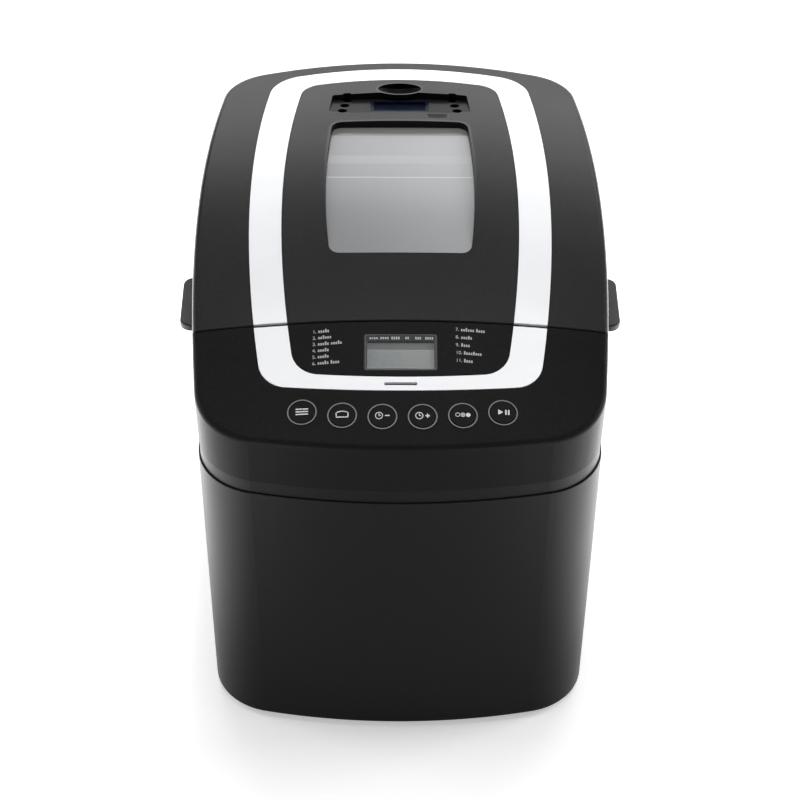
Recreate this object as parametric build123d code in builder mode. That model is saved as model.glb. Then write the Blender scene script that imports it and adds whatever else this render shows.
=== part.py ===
from build123d import *
import math
import os

# Bread machine: a drafted body with a sloped control panel at the front and a domed,
# rear-hinged lid over the baking chamber.  Millimetres, +Z up, front towards -Y.
# The origin is on the worktop, at the middle of the overall box.

os.makedirs("parts", exist_ok=True)

# ---------------------------------------------------------------- overall sizes
width = 254.0  # over the side walls, where lid and panel meet
half_depth = 173.5  # front of the body and back of the hinge barrels from the origin
foot_height = 4.0
body_height = 194.0  # body shell alone, without feet
ring_height = 8.7  # recessed ring between body shell and upper housing
fascia_height = 34.3  # front face of the upper housing, up to the panel's front edge
panel_depth = 86.7  # panel in plan, from the front of the body to the lid seam
panel_slope = 17.7  # degrees, panel and front end of the lid
dome_r = 573.0  # lid's curve from front to back
crown_r = 900.0  # curve of lid and panel from side to side

# ---------------------------------------------------------------- walls and clearances
body_wall = 2.2
housing_wall = 3.0
lid_wall = 3.0
edge_round = 4.0  # rounding of the upper edge all round
rim_round = 0.7  # broken edges along the parting ring and the lid seam
sole_round = 1.8  # lower outer edge of the body
lid_gap = 0.6  # lid to housing, all along the seam
fit_gap = 0.3  # between parts that pass each other
trim_gap = 0.4  # shadow line each side of the bright band
running_gap = 0.03  # radial, shafts in their bushes

# ---------------------------------------------------------------- heights
body_z = foot_height
body_top_z = body_z + body_height
waist_z = body_top_z + ring_height
panel_front_z = waist_z + fascia_height
front_y = -half_depth
panel_front_y = front_y + 1.0
seam_y = front_y + panel_depth
slope = math.radians(panel_slope)
seam_z = panel_front_z + (seam_y - panel_front_y) * math.tan(slope)
dome_y = seam_y + dome_r * math.sin(slope)
dome_z = seam_z - dome_r * math.cos(slope)
split_z = panel_front_z + 2.0  # top of the housing's side walls, under the lid
lid_bottom_z = split_z + lid_gap
deck_z = split_z - 5.0
deck_thickness = 3.0
crown_z = dome_z + dome_r + 5.0  # a level above everything, used for the drafted forms

# ---------------------------------------------------------------- plan outlines
front_bow = 17.4  # how far the front face bows forward
back_bow = 10.1
lid_back_bow = 15.5  # the lid bows out further over the hinge
front_corner_r = 42.0
back_corner_r = 32.0
base_side_in = (8.7, 20.0, 6.0)  # front corner and back corner inside width/2, side bulge
body_top_side_in = (6.4, 17.3, 9.2)
waist_side_in = (7.1, 18.0, 9.2)
crown_side_in = (4.2, 12.5, 11.0)
back_wall_y = half_depth - 10.2
base_ends = (front_y + 4.1, back_wall_y - 3.5)
body_top_ends = (front_y, back_wall_y)
waist_ends = (front_y + 0.5, back_wall_y - 0.5)
crown_ends = (front_y + 1.2, back_wall_y + 7.7)

# ---------------------------------------------------------------- bright band
band_depth = 1.6
band_front_y = seam_y - 47.3
band_back_y = back_wall_y - 5.8
band_side_width = 19.5
band_front_width = 9.1
band_back_width = 15.4
band_half = 82.9  # outer half width at the band's corners
band_bulge = 11.5
band_slot = (20.0, 2.1)  # small dark slot in the band's front run

# ---------------------------------------------------------------- lid window
window_front_y = seam_y + 50.8
window_back_y = back_wall_y - 74.0
window_half = 43.6
window_bulge = 3.5
window_corner_r = 7.0
window_front_drop = 0.8  # glass below the lid's surface at the front edge
window_back_drop = 5.4
glass_thickness = 4.0
bezel_wall = 1.6
bezel_ledge = 3.0

# ---------------------------------------------------------------- steam vent at the lid's back
vent_front_y = back_wall_y - 65.3
vent_back_y = back_wall_y - 36.5
vent_half_front = 48.0
vent_half_back = 45.6
vent_back_drop = 5.6
vent_floor = 2.0
vent_hole_r = 3.2
vent_slot = (38.2, 18.2)
vent_slot_start = 4.5  # from the vent's front edge
vent_hole_rows = (5.2, 9.3)  # first hole from the vent's front edge, and the pitch
vent_hole_x = (37.5, 1.4)  # of the first hole, and the step inwards
dish_y = back_wall_y - 33.5
dish_radii = (15.3, 8.2)
dish_depth = 6.0

# ---------------------------------------------------------------- controls
button_r = 7.7
button_pitch = 23.75
button_rows_y = (front_y + 21.7, front_y + 22.8, front_y + 25.5)  # inner to outer pair
button_x_shift = 1.0
button_proud = 0.7
button_travel = 1.2
button_flange = 1.4
ring_width = 0.8
ring_proud = 0.5
lens_size = (44.4, 26.0)
lens_y = front_y + 65.3
lens_thickness = 1.5
view_size = (40.4, 20.4)
view_shift = -2.4  # the display's view sits low in its lens
board_size = (168.0, 68.0, 1.6)
board_y = front_y + 42.5
board_depth = 14.0
switch_height = 3.5

# ---------------------------------------------------------------- hinge
hinge_barrel_r = 4.5
hinge_pin_r = 2.0
hinge_x = 58.0
knuckle_width = 5.2
knuckle_gap = 0.4
ear_width = 5.0
hinge_root = 7.8  # from the pin's middle forward into the wall
ear_drop = 10.0
knuckle_rise = 7.0
hinge_y = half_depth - hinge_barrel_r
hinge_z = split_z - 2.0

# ---------------------------------------------------------------- lid grips
grip_length = 49.0
grip_out = 8.6
grip_thickness = 5.0
grip_front_y = seam_y + 18.8
grip_corner_r = 7.0

# ---------------------------------------------------------------- chamber and pan
chamber_margin = 36.1  # seam to back wall, less the chamber's length
chamber_size = (164.0, back_wall_y - seam_y - chamber_margin)
chamber_corner_r = 22.0
chamber_sheet = 1.0
chamber_floor_z = 70.0
chamber_flange = 4.0
chamber_y = (seam_y + lid_gap + back_wall_y - 1.0 - housing_wall) / 2
shield_gap = 8.0
shield_sheet = 0.8
shield_floor_z = 61.0
pan_room = (24.0, 28.0)  # chamber less the pan's top, across and along
pan_top = (chamber_size[0] - pan_room[0], chamber_size[1] - pan_room[1])
pan_taper = 6.0
pan_corner_r = 22.0
pan_wall = 1.6
pan_floor_z = chamber_floor_z + chamber_sheet + 13.0
pan_height = 128.0
pan_rim = 4.0
pan_rim_z = pan_floor_z + pan_height
bail_wire_r = 1.8
bail_reach = 64.0
bail_z = pan_rim_z + 4.0
pan_shaft_r = 4.0
pan_shaft_top_z = pan_floor_z + 30.0
element_r = 3.3
element_room = 16.0  # chamber less the element's loop
element_size = (chamber_size[0] - element_room, chamber_size[1] - element_room)
element_z = chamber_floor_z + 14.0

# ---------------------------------------------------------------- drive
drive_shaft_r = 5.0
bush_wall = 4.0
bush_length = 10.0
chassis_z = 36.0
chassis_sheet = 2.0
chassis_half_width = 76.0
pulley_z = 19.0
pulley_height = 12.0
large_pulley_r = 48.0
small_pulley_r = 9.0
belt_height = 10.0
belt_thickness = 1.8
motor_r = 33.0
motor_height = 72.0
motor_y = front_y + 50.5
motor_shaft_r = 3.0
tray_z = body_z + body_wall
tray_thickness = 2.2
lip_width = 6.0


# ================================================================ shared forms
def plan_sketch(z, ends, side_in, inset=0.0, bow=back_bow):
    """Plan outline at height z: bowed front and back, bulging sides, round corners."""
    x_front = width / 2 - side_in[0] - inset
    x_back = width / 2 - side_in[1] - inset
    y_front = ends[0] + inset
    y_back = ends[1] - inset
    corner_front = (x_front, y_front + front_bow)
    corner_back = (x_back, y_back - bow)
    side_mid = ((x_front + x_back) / 2 + side_in[2], (corner_front[1] + corner_back[1]) / 2)
    with BuildSketch(Plane.XY.offset(z)) as outline:
        with BuildLine():
            ThreePointArc((-corner_front[0], corner_front[1]), (0, y_front), corner_front)
            ThreePointArc(corner_front, side_mid, corner_back)
            ThreePointArc(corner_back, (0, y_back), (-corner_back[0], corner_back[1]))
            ThreePointArc(
                (-corner_back[0], corner_back[1]),
                (-side_mid[0], side_mid[1]),
                (-corner_front[0], corner_front[1]),
            )
        make_face()
        fillet(outline.vertices().group_by(Axis.Y)[0], front_corner_r - inset)
        fillet(outline.vertices().group_by(Axis.Y)[-1], back_corner_r - inset)
    return outline.sketch


def body_form(inset=0.0):
    """The drafted lower body, solid."""
    with BuildPart() as form:
        loft(
            sections=[
                plan_sketch(body_z, base_ends, base_side_in, inset),
                plan_sketch(body_top_z, body_top_ends, body_top_side_in, inset),
            ],
            ruled=True,
        )
    return form.part


def upper_form(inset=0.0):
    """The drafted form that upper housing and lid share, from the waist up, solid."""
    with BuildPart() as form:
        loft(
            sections=[
                plan_sketch(waist_z, waist_ends, waist_side_in, inset),
                plan_sketch(crown_z, crown_ends, crown_side_in, inset, lid_back_bow),
            ],
            ruled=True,
        )
    return form.part


def under_top(drop=0.0):
    """All that lies below the top surface lowered by drop: domed lid, straight panel."""
    reach = width * 0.75
    edge_r = dome_r - drop - reach**2 / (2 * crown_r)
    seam_plane = Plane(
        origin=(0, dome_y, dome_z),
        x_dir=(1, 0, 0),
        z_dir=(0, -math.cos(slope), -math.sin(slope)),
    )
    with BuildPart() as below:
        with BuildSketch(seam_plane) as section:
            with BuildLine():
                ThreePointArc((-reach, edge_r), (0, dome_r - drop), (reach, edge_r))
                Polyline(
                    (reach, edge_r),
                    (reach, dome_r / 2),
                    (-reach, dome_r / 2),
                    (-reach, edge_r),
                )
            make_face()
        extrude(section.sketch, amount=panel_depth * 1.5)
        revolve(
            section.sketch,
            axis=Axis((0, dome_y, dome_z), (-1, 0, 0)),
            revolution_arc=panel_slope + 15,
        )
    return below.part


def block(low, high):
    """A box between two corners."""
    with BuildPart() as solid:
        with Locations(tuple((a + b) / 2 for a, b in zip(low, high))):
            Box(*(b - a for a, b in zip(low, high)))
    return solid.part


def prism(sketch, z_low, z_high):
    """A sketch drawn on the XY plane, stood up between two heights."""
    with BuildPart(Plane.XY.offset(z_low)) as solid:
        extrude(Plane.XY.offset(z_low) * sketch, amount=z_high - z_low)
    return solid.part


def ring_outline(front, back, half, bulge, front_r, back_r, front_drop, back_drop):
    """A rounded outline of four shallow arcs, drawn on the XY plane."""
    corner_front = (half, front + front_drop)
    corner_back = (half, back - back_drop)
    side_mid = (half + bulge, (corner_front[1] + corner_back[1]) / 2)
    with BuildSketch() as outline:
        with BuildLine():
            ThreePointArc((-half, corner_front[1]), (0, front), corner_front)
            ThreePointArc(corner_front, side_mid, corner_back)
            ThreePointArc(corner_back, (0, back), (-half, corner_back[1]))
            ThreePointArc((-half, corner_back[1]), (-side_mid[0], side_mid[1]), (-half, corner_front[1]))
        make_face()
        fillet(outline.vertices().group_by(Axis.Y)[0], front_r)
        fillet(outline.vertices().group_by(Axis.Y)[-1], back_r)
    return outline.sketch


def band_outline(grow=0.0, side=0.0, front=0.0, back=0.0):
    """Outline of the bright band, moved in by side, front and back and out by grow."""
    return ring_outline(
        band_front_y + front - grow,
        band_back_y - back + grow,
        band_half - side + grow,
        band_bulge - side / 30,
        19.0 + grow - side / 20,
        24.0 + grow - side / 2,
        6.4 - side / 10,
        10.3 - side / 5,
    )


def top_height(y):
    """Height of the top surface on its centre line."""
    if y < seam_y:
        return seam_z + (y - seam_y) * math.tan(slope)
    return dome_z + math.sqrt(dome_r**2 - (y - dome_y) ** 2)


def panel_plane(x, y, depth=0.0):
    """Plane parallel to the control panel, depth below its centre line."""
    normal = (0, -math.sin(slope), math.cos(slope))
    origin = (x, y - depth * normal[1], top_height(y) - depth * normal[2])
    return Plane(origin=origin, x_dir=(1, 0, 0), z_dir=normal)


def window_outline(grow=0.0):
    """Outline of the lid window, moved out by grow."""
    return ring_outline(
        window_front_y - grow,
        window_back_y + grow,
        window_half + grow,
        window_bulge,
        window_corner_r + grow,
        window_corner_r + grow,
        0.7,
        0.5,
    )


def below_line(front, back, margin=60.0):
    """Everything under the sloping plane through two (y, z) points."""
    rise = (back[1] - front[1]) / (back[0] - front[0])
    y_low = front[0] - margin
    y_high = back[0] + margin
    with BuildPart() as wedge:
        with BuildSketch(Plane.YZ.offset(-width / 2)):
            with BuildLine():
                Polyline(
                    (y_low, 0),
                    (y_high, 0),
                    (y_high, back[1] + rise * margin),
                    (y_low, front[1] - rise * margin),
                    close=True,
                )
            make_face()
        extrude(amount=width)
    return wedge.part


def rounded_box(size, corner_r, z_low, z_high, center_y, taper_bottom=0.0):
    """A box with round upright corners; its foot may be narrower by taper_bottom a side."""
    with BuildPart() as solid:
        with BuildSketch(Plane.XY.offset(z_high)) as upper:
            with Locations((0, center_y)):
                RectangleRounded(size[0], size[1], corner_r)
        with BuildSketch(Plane.XY.offset(z_low)) as lower:
            with Locations((0, center_y)):
                RectangleRounded(
                    size[0] - 2 * taper_bottom,
                    size[1] - 2 * taper_bottom,
                    corner_r - taper_bottom / 3,
                )
        loft(sections=[lower.sketch, upper.sketch], ruled=True)
    return solid.part


def upright(r, z_low, z_high, x=0.0, y=0.0):
    """An upright round bar."""
    with BuildPart() as solid:
        with BuildSketch(Plane.XY.offset(z_low)):
            with Locations((x, y)):
                Circle(r)
        extrude(amount=z_high - z_low)
    return solid.part


def across(r, x_low, x_high, y, z):
    """A round bar along X."""
    with BuildPart() as solid:
        with BuildSketch(Plane.YZ.offset(x_low)):
            with Locations((y, z)):
                Circle(r)
        extrude(amount=x_high - x_low)
    return solid.part


def panel_post(x, y, r, depth, length):
    """A round post square to the control panel, from depth below it upwards."""
    with BuildPart() as post:
        with BuildSketch(panel_plane(x, y, depth)):
            Circle(r)
        extrude(amount=length)
    return post.part


def save(piece, node):
    """Label a finished piece and write its STEP file."""
    piece.label = node
    export_step(piece, f"parts/{node}.step")


button_places = [
    (button_x_shift - 2.5 * button_pitch, button_rows_y[2], "button_menu"),
    (button_x_shift - 1.5 * button_pitch, button_rows_y[1], "button_loaf"),
    (button_x_shift - 0.5 * button_pitch, button_rows_y[0], "button_time_down"),
    (button_x_shift + 0.5 * button_pitch, button_rows_y[0], "button_time_up"),
    (button_x_shift + 1.5 * button_pitch, button_rows_y[1], "button_crust"),
    (button_x_shift + 2.5 * button_pitch, button_rows_y[2], "button_start"),
]
far = 4 * half_depth
through = 8.0  # cuts through the panel start this far below it and end as far above

# ================================================================ outer shells
# Upper housing and lid are cut from one rounded form, so their surfaces run on.
with BuildPart() as upper_outside:
    add(upper_form())
    fillet(upper_outside.edges().group_by(Axis.Z)[0], rim_round)
    add(under_top(), mode=Mode.INTERSECT)
    rim_edges = upper_outside.edges().filter_by(
        lambda edge: edge.bounding_box().min.Z > panel_front_z - 12
        and not (edge.bounding_box().size.X > width / 2 and edge.bounding_box().size.Y < 1)
    )
    fillet(rim_edges, edge_round)

with BuildPart() as upper_inside:
    add(upper_form(housing_wall))
    add(under_top(housing_wall), mode=Mode.INTERSECT)

band_solid = prism(band_outline() - band_outline(side=band_side_width, front=band_front_width,
                                                back=band_back_width), waist_z, crown_z)
band_pocket = prism(
    band_outline(trim_gap)
    - band_outline(-trim_gap, band_side_width, band_front_width, band_back_width),
    waist_z,
    crown_z,
)
band_floor = under_top(band_depth)
behind_seam = block((-width, seam_y + lid_gap, lid_bottom_z), (width, far, far))
ahead_of_seam = block((-width, -far, 0), (width, seam_y, far))

seam_chamfer = 0.5


def seam_edges(solid, y):
    """The outer edges of a part along the lid seam at y, over the top and down the sides."""
    return solid.edges().filter_by(
        lambda edge: abs(edge.bounding_box().min.Y - y) < 0.01
        and abs(edge.bounding_box().max.Y - y) < 0.01
        and edge.center().Z > lid_bottom_z + 1
    )


# ---------------------------------------------------------------- body shell
back_plane = Plane(origin=(0, back_wall_y + 20, body_z), x_dir=(-1, 0, 0), z_dir=(0, 1, 0))
gland_x = -62.0
gland_z = 26.0
gland_neck_r = 6.2
gland_bore_r = 3.6
vent_rows = 2
vent_columns = 9

with BuildPart() as body_shell:
    add(body_form())
    fillet(body_shell.edges().group_by(Axis.Z)[-1], rim_round)
    fillet(body_shell.edges().group_by(Axis.Z)[0], sole_round)
    add(body_form(body_wall) & block((-far, -far, tray_z), (far, far, far)), mode=Mode.SUBTRACT)
    add(body_form(lip_width) & block((-far, -far, 0), (far, far, tray_z)), mode=Mode.SUBTRACT)
    with BuildSketch(back_plane) as louvres:
        with Locations((0, body_height * 0.72)):
            with GridLocations(9.0, 28.0, vent_columns, vent_rows):
                SlotOverall(20.0, 3.0, rotation=90)
    extrude(amount=-40, mode=Mode.SUBTRACT)
    with BuildSketch(back_plane):
        with Locations((-gland_x, gland_z - body_z)):
            Circle(gland_neck_r + fit_gap / 2)
    extrude(amount=-60, mode=Mode.SUBTRACT)
save(body_shell.part, "body_shell")

# ---------------------------------------------------------------- base tray and feet
foot_spots = [(x, y) for x in (-78.0, 78.0) for y in (front_y + 48, back_wall_y - 40)]
foot_r = 10.0
foot_peg_r = 3.5
tray_vents = (6, 3)
tray_top_z = tray_z + tray_thickness

with BuildPart() as base_tray:
    add(body_form(body_wall + fit_gap) & block((-far, -far, tray_z), (far, far, tray_top_z)))
    with BuildSketch(Plane.XY.offset(tray_z)):
        with Locations(*foot_spots):
            Circle(foot_peg_r)
    extrude(amount=tray_thickness, mode=Mode.SUBTRACT)
    with BuildSketch(Plane.XY.offset(tray_z)):
        with Locations((0, motor_y)):
            with GridLocations(12.0, 24.0, *tray_vents):
                SlotOverall(18.0, 4.0, rotation=90)
    extrude(amount=tray_thickness, mode=Mode.SUBTRACT)
save(base_tray.part, "base_tray")

with BuildPart() as rubber_feet:
    with BuildSketch():
        with Locations(*foot_spots):
            Circle(foot_r)
    extrude(amount=tray_z)
    chamfer(rubber_feet.edges().group_by(Axis.Z)[0], 0.8)
    with BuildSketch(Plane.XY.offset(tray_z)):
        with Locations(*foot_spots):
            Circle(foot_peg_r)
    extrude(amount=tray_thickness)
save(rubber_feet.part, "rubber_feet")

# ---------------------------------------------------------------- recessed ring
ring_recess = 1.0
ring_band = 5.0
ring_spigot = 8.0
with BuildPart() as parting_ring:
    ring_outer = plan_sketch(0, body_top_ends, body_top_side_in, ring_recess)
    ring_inner = plan_sketch(0, body_top_ends, body_top_side_in, ring_recess + ring_band)
    add(prism(ring_outer - ring_inner, body_top_z, waist_z))
    spigot_outer = plan_sketch(0, body_top_ends, body_top_side_in, body_wall + 2 * fit_gap)
    spigot_inner = plan_sketch(0, body_top_ends, body_top_side_in, ring_recess + ring_band)
    add(prism(spigot_outer - spigot_inner, body_top_z - ring_spigot, body_top_z))
    upper_spigot = plan_sketch(0, waist_ends, waist_side_in, housing_wall + fit_gap)
    upper_spigot_inner = plan_sketch(0, waist_ends, waist_side_in, ring_band)
    add(prism(upper_spigot - upper_spigot_inner, waist_z, waist_z + ring_spigot))
save(parting_ring.part, "parting_ring")

# ---------------------------------------------------------------- upper housing
opening_size = (chamber_size[0] + 2 * chamber_sheet + 2 * fit_gap,
                chamber_size[1] + 2 * chamber_sheet + 2 * fit_gap)
bulkhead_y = seam_y - housing_wall
boss_r = 3.5
boss_spare = 4.0  # a post is drawn this much too long, then cut to the wall
boss_bite = 0.5  # how far a post runs into the wall that carries it
board_bosses = [(x, y) for x in (-76.0, 76.0) for y in (board_y - 26, board_y + 26)]
button_hole_r = button_r + fit_gap
button_ring_r = button_hole_r + ring_width

with BuildPart() as upper_housing:
    add(upper_outside.part)
    add(block((-far, seam_y, split_z), (far, far, far)), mode=Mode.SUBTRACT)
    chamfer(seam_edges(upper_housing, seam_y), seam_chamfer)
    add(upper_inside.part & block((-far, -far, 0), (far, bulkhead_y, far)), mode=Mode.SUBTRACT)
    add(
        upper_inside.part & block((-far, bulkhead_y, 0), (far, far, deck_z - deck_thickness)),
        mode=Mode.SUBTRACT,
    )
    add(
        upper_inside.part & block((-far, seam_y, deck_z), (far, far, far)),
        mode=Mode.SUBTRACT,
    )
    add(
        rounded_box(opening_size, chamber_corner_r + chamber_sheet + fit_gap,
                    deck_z - deck_thickness, deck_z, chamber_y),
        mode=Mode.SUBTRACT,
    )
    # pocket for the bright band's front run
    add((band_pocket & ahead_of_seam) - band_floor, mode=Mode.SUBTRACT)
    # display opening and the seat of its lens
    with BuildSketch(panel_plane(0, lens_y, lens_thickness + 2)):
        RectangleRounded(lens_size[0], lens_size[1], 1.5)
    extrude(amount=10, mode=Mode.SUBTRACT)
    with BuildSketch(panel_plane(0, lens_y, 8)):
        RectangleRounded(lens_size[0] - 3, lens_size[1] - 3, 1.0)
    extrude(amount=12, mode=Mode.SUBTRACT)
    # button holes, each with the seat of its bright ring
    for x, y, node in button_places:
        with BuildSketch(panel_plane(x, y, 8)):
            Circle(button_hole_r)
        extrude(amount=16, mode=Mode.SUBTRACT)
    # bosses that carry the control board
    for x, y in board_bosses:
        post = panel_post(x, y, boss_r, board_depth, board_depth + boss_spare)
        add(post & under_top(housing_wall - boss_bite))
    # hinge ears on the back wall
    for side in (-1, 1):
        for start in (-knuckle_width / 2 - knuckle_gap - ear_width, knuckle_width / 2 + knuckle_gap):
            x_low = side * hinge_x + start
            add(across(hinge_barrel_r, x_low, x_low + ear_width, hinge_y, hinge_z))
            add(
                block(
                    (x_low, hinge_y - hinge_root, hinge_z - ear_drop),
                    (x_low + ear_width, hinge_y, hinge_z),
                )
            )
            add(
                across(hinge_pin_r, x_low, x_low + ear_width, hinge_y, hinge_z),
                mode=Mode.SUBTRACT,
            )
save(upper_housing.part, "upper_housing")

# ---------------------------------------------------------------- lid shell
lid_inner_top = under_top(lid_wall)
recess_front_z = top_height(vent_front_y) - 0.3
recess_back_z = top_height(vent_back_y) - vent_back_drop
vent_floor_top = below_line((vent_front_y, recess_front_z), (vent_back_y, recess_back_z))
vent_floor_bottom = below_line(
    (vent_front_y, recess_front_z - vent_floor), (vent_back_y, recess_back_z - vent_floor)
)


def vent_outline(grow=0.0):
    """Outline of the sunk steam vent, a little wider at its front."""
    with BuildSketch() as outline:
        with BuildLine():
            Polyline(
                (-vent_half_front - grow, vent_front_y - grow),
                (vent_half_front + grow, vent_front_y - grow),
                (vent_half_back + grow, vent_back_y + grow - 3),
                (0, vent_back_y + grow),
                (-vent_half_back - grow, vent_back_y + grow - 3),
                close=True,
            )
        make_face()
        fillet(outline.vertices().filter_by(lambda v: abs(v.Y - (vent_back_y + grow - 3)) < 0.1), 2.0)
    return outline.sketch


def dish_outline(grow=0.0):
    """Outline of the oval finger dish."""
    with BuildSketch() as outline:
        with Locations((0, dish_y)):
            Ellipse(dish_radii[0] + grow, dish_radii[1] + grow)
    return outline.sketch


boss_x = 100.0
boss_inset = (11.0, 19.0)  # outer bosses inside the chamber's front and back
boss_rows = (
    chamber_y - chamber_size[1] / 2 + boss_inset[0],
    chamber_y,
    chamber_y + chamber_size[1] / 2 - boss_inset[1],
)
lid_bosses = [(x, y) for x in (-boss_x, boss_x) for y in boss_rows]
liner_z = lid_bottom_z + 3.0
liner_sheet = 1.2

with BuildPart() as lid_shell:
    add(upper_outside.part)
    add(behind_seam, mode=Mode.INTERSECT)
    chamfer(seam_edges(lid_shell, seam_y + lid_gap), seam_chamfer)
    add(
        (upper_form(lid_wall) & lid_inner_top)
        & block((-far, seam_y + lid_gap + lid_wall, 0), (far, far, far)),
        mode=Mode.SUBTRACT,
    )
    add((band_pocket & behind_seam) - band_floor, mode=Mode.SUBTRACT)
    add(prism(window_outline(bezel_wall), lid_bottom_z, crown_z), mode=Mode.SUBTRACT)
    add(prism(vent_outline() + dish_outline(), lid_bottom_z, crown_z), mode=Mode.SUBTRACT)
    for x, y in lid_bosses:
        add(upright(boss_r, liner_z + liner_sheet, crown_z, x, y) & under_top(lid_wall - boss_bite))
    for side in (-1, 1):
        x_low = side * hinge_x - knuckle_width / 2
        add(across(hinge_barrel_r, x_low, x_low + knuckle_width, hinge_y, hinge_z))
        add(
            block(
                (x_low, hinge_y - hinge_root, lid_bottom_z),
                (x_low + knuckle_width, hinge_y, lid_bottom_z + knuckle_rise),
            )
        )
        add(
            across(hinge_pin_r + running_gap, x_low, x_low + knuckle_width, hinge_y, hinge_z),
            mode=Mode.SUBTRACT,
        )
save(lid_shell.part, "lid_shell")

# ---------------------------------------------------------------- bright band, in two runs
with BuildPart() as lid_band:
    add(band_solid & block((-far, seam_y + lid_gap + 1.0, 0), (far, far, far)))
    add(under_top(), mode=Mode.INTERSECT)
    add(band_floor, mode=Mode.SUBTRACT)
save(lid_band.part, "lid_band")

with BuildPart() as panel_band:
    add(band_solid & block((-far, -far, 0), (far, seam_y - 1.0, far)))
    add(under_top(), mode=Mode.INTERSECT)
    add(band_floor, mode=Mode.SUBTRACT)
    with BuildSketch(Plane.XY.offset(waist_z)):
        with Locations((0, band_front_y + 0.5 * band_front_width)):
            SlotOverall(band_slot[0], band_slot[1])
    extrude(amount=crown_z - waist_z, mode=Mode.SUBTRACT)
save(panel_band.part, "panel_band")

# ---------------------------------------------------------------- control panel
panel_surface = under_top()
with BuildPart() as display_lens:
    with BuildSketch(panel_plane(0, lens_y, 6)):
        RectangleRounded(lens_size[0] - 2 * 0.15, lens_size[1] - 2 * 0.15, 1.4)
    extrude(amount=12)
    add(panel_surface, mode=Mode.INTERSECT)
    with BuildSketch(panel_plane(0, lens_y, 8)):
        Rectangle(lens_size[0] + 4, lens_size[1] + 4)
    extrude(amount=8 - lens_thickness - 0.5, mode=Mode.SUBTRACT)
save(display_lens.part, "display_lens")

with BuildPart() as display_module:
    with BuildSketch(panel_plane(0, lens_y, board_depth)):
        Rectangle(lens_size[0] - 4, lens_size[1] - 4)
    extrude(amount=board_depth - lens_thickness - 0.5)
save(display_module.part, "display_module")

with BuildPart() as control_board:
    with BuildSketch(panel_plane(0, board_y, board_depth + board_size[2])):
        RectangleRounded(board_size[0], board_size[1], 2)
    extrude(amount=board_size[2])
    for x, y, node in button_places:
        with BuildSketch(panel_plane(x, y, board_depth)):
            Rectangle(6.0, 6.0)
        extrude(amount=switch_height)
save(control_board.part, "control_board")

with BuildPart() as button_rings:
    for x, y, node in button_places:
        add(panel_post(x, y, button_ring_r, through, 2 * through))
    for x, y, node in button_places:
        add(panel_post(x, y, button_hole_r, through, 2 * through), mode=Mode.SUBTRACT)
    add(under_top(-ring_proud), mode=Mode.INTERSECT)
    add(panel_surface, mode=Mode.SUBTRACT)
save(button_rings.part, "button_rings")

stem_r = 2.5
switch_gap = 0.2
for x, y, node in button_places:
    with BuildPart() as cap:
        with BuildSketch(panel_plane(x, y, 6)):
            Circle(button_r)
        extrude(amount=12)
        add(under_top(-button_proud), mode=Mode.INTERSECT)
        chamfer(cap.edges().filter_by(GeomType.LINE, reverse=True).sort_by(Axis.Z)[-1], 0.4)
    with BuildPart() as flange:
        with BuildSketch(panel_plane(x, y, 7)):
            Circle(button_r + button_flange)
        extrude(amount=12)
        add(under_top(housing_wall + fit_gap), mode=Mode.INTERSECT)
    with BuildPart() as button:
        add(cap.part)
        add(flange.part)
        with BuildSketch(panel_plane(x, y, board_depth - switch_height - button_travel - switch_gap)):
            Circle(stem_r)
        extrude(amount=4)
    save(button.part, node)

# ---------------------------------------------------------------- hinge pins and grips
with BuildPart() as hinge_pins:
    for side in (-1, 1):
        half_pin = knuckle_width / 2 + knuckle_gap + ear_width
        add(
            across(hinge_pin_r, side * hinge_x - half_pin, side * hinge_x + half_pin,
                   hinge_y, hinge_z)
        )
save(hinge_pins.part, "hinge_pins")

grip_z = lid_bottom_z + 1.4
for side, node in ((-1, "lid_grip_left"), (1, "lid_grip_right")):
    with BuildPart() as grip:
        with BuildSketch(Plane.XY.offset(grip_z)):
            with Locations((side * (width / 2 + grip_out - 12), grip_front_y + grip_length / 2)):
                RectangleRounded(24, grip_length, grip_corner_r)
        extrude(amount=grip_thickness)
        fillet(grip.edges().group_by(Axis.Z)[-1], 1.2)
        fillet(grip.edges().group_by(Axis.Z)[0], 1.2)
        add(upper_outside.part, mode=Mode.SUBTRACT)
    save(grip.part, node)

# ---------------------------------------------------------------- lid window
glass_front_z = top_height(window_front_y) - window_front_drop
glass_back_z = top_height(window_back_y) - window_back_drop


def glass_line(drop):
    """Everything under the window glass's top face, lowered by drop."""
    return below_line((window_front_y, glass_front_z - drop), (window_back_y, glass_back_z - drop))


with BuildPart() as window_bezel:
    add(prism(window_outline(bezel_wall), lid_bottom_z, crown_z))
    add(under_top(), mode=Mode.INTERSECT)
    add(glass_line(glass_thickness + 2), mode=Mode.SUBTRACT)
    add(prism(window_outline(), lid_bottom_z, crown_z) - glass_line(glass_thickness), mode=Mode.SUBTRACT)
    add(prism(window_outline(-bezel_ledge), lid_bottom_z, crown_z), mode=Mode.SUBTRACT)
save(window_bezel.part, "window_bezel")

with BuildPart() as window_glass:
    add(prism(window_outline(-0.1), lid_bottom_z, crown_z))
    add(glass_line(0), mode=Mode.INTERSECT)
    add(glass_line(glass_thickness), mode=Mode.SUBTRACT)
save(window_glass.part, "window_glass")

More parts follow.
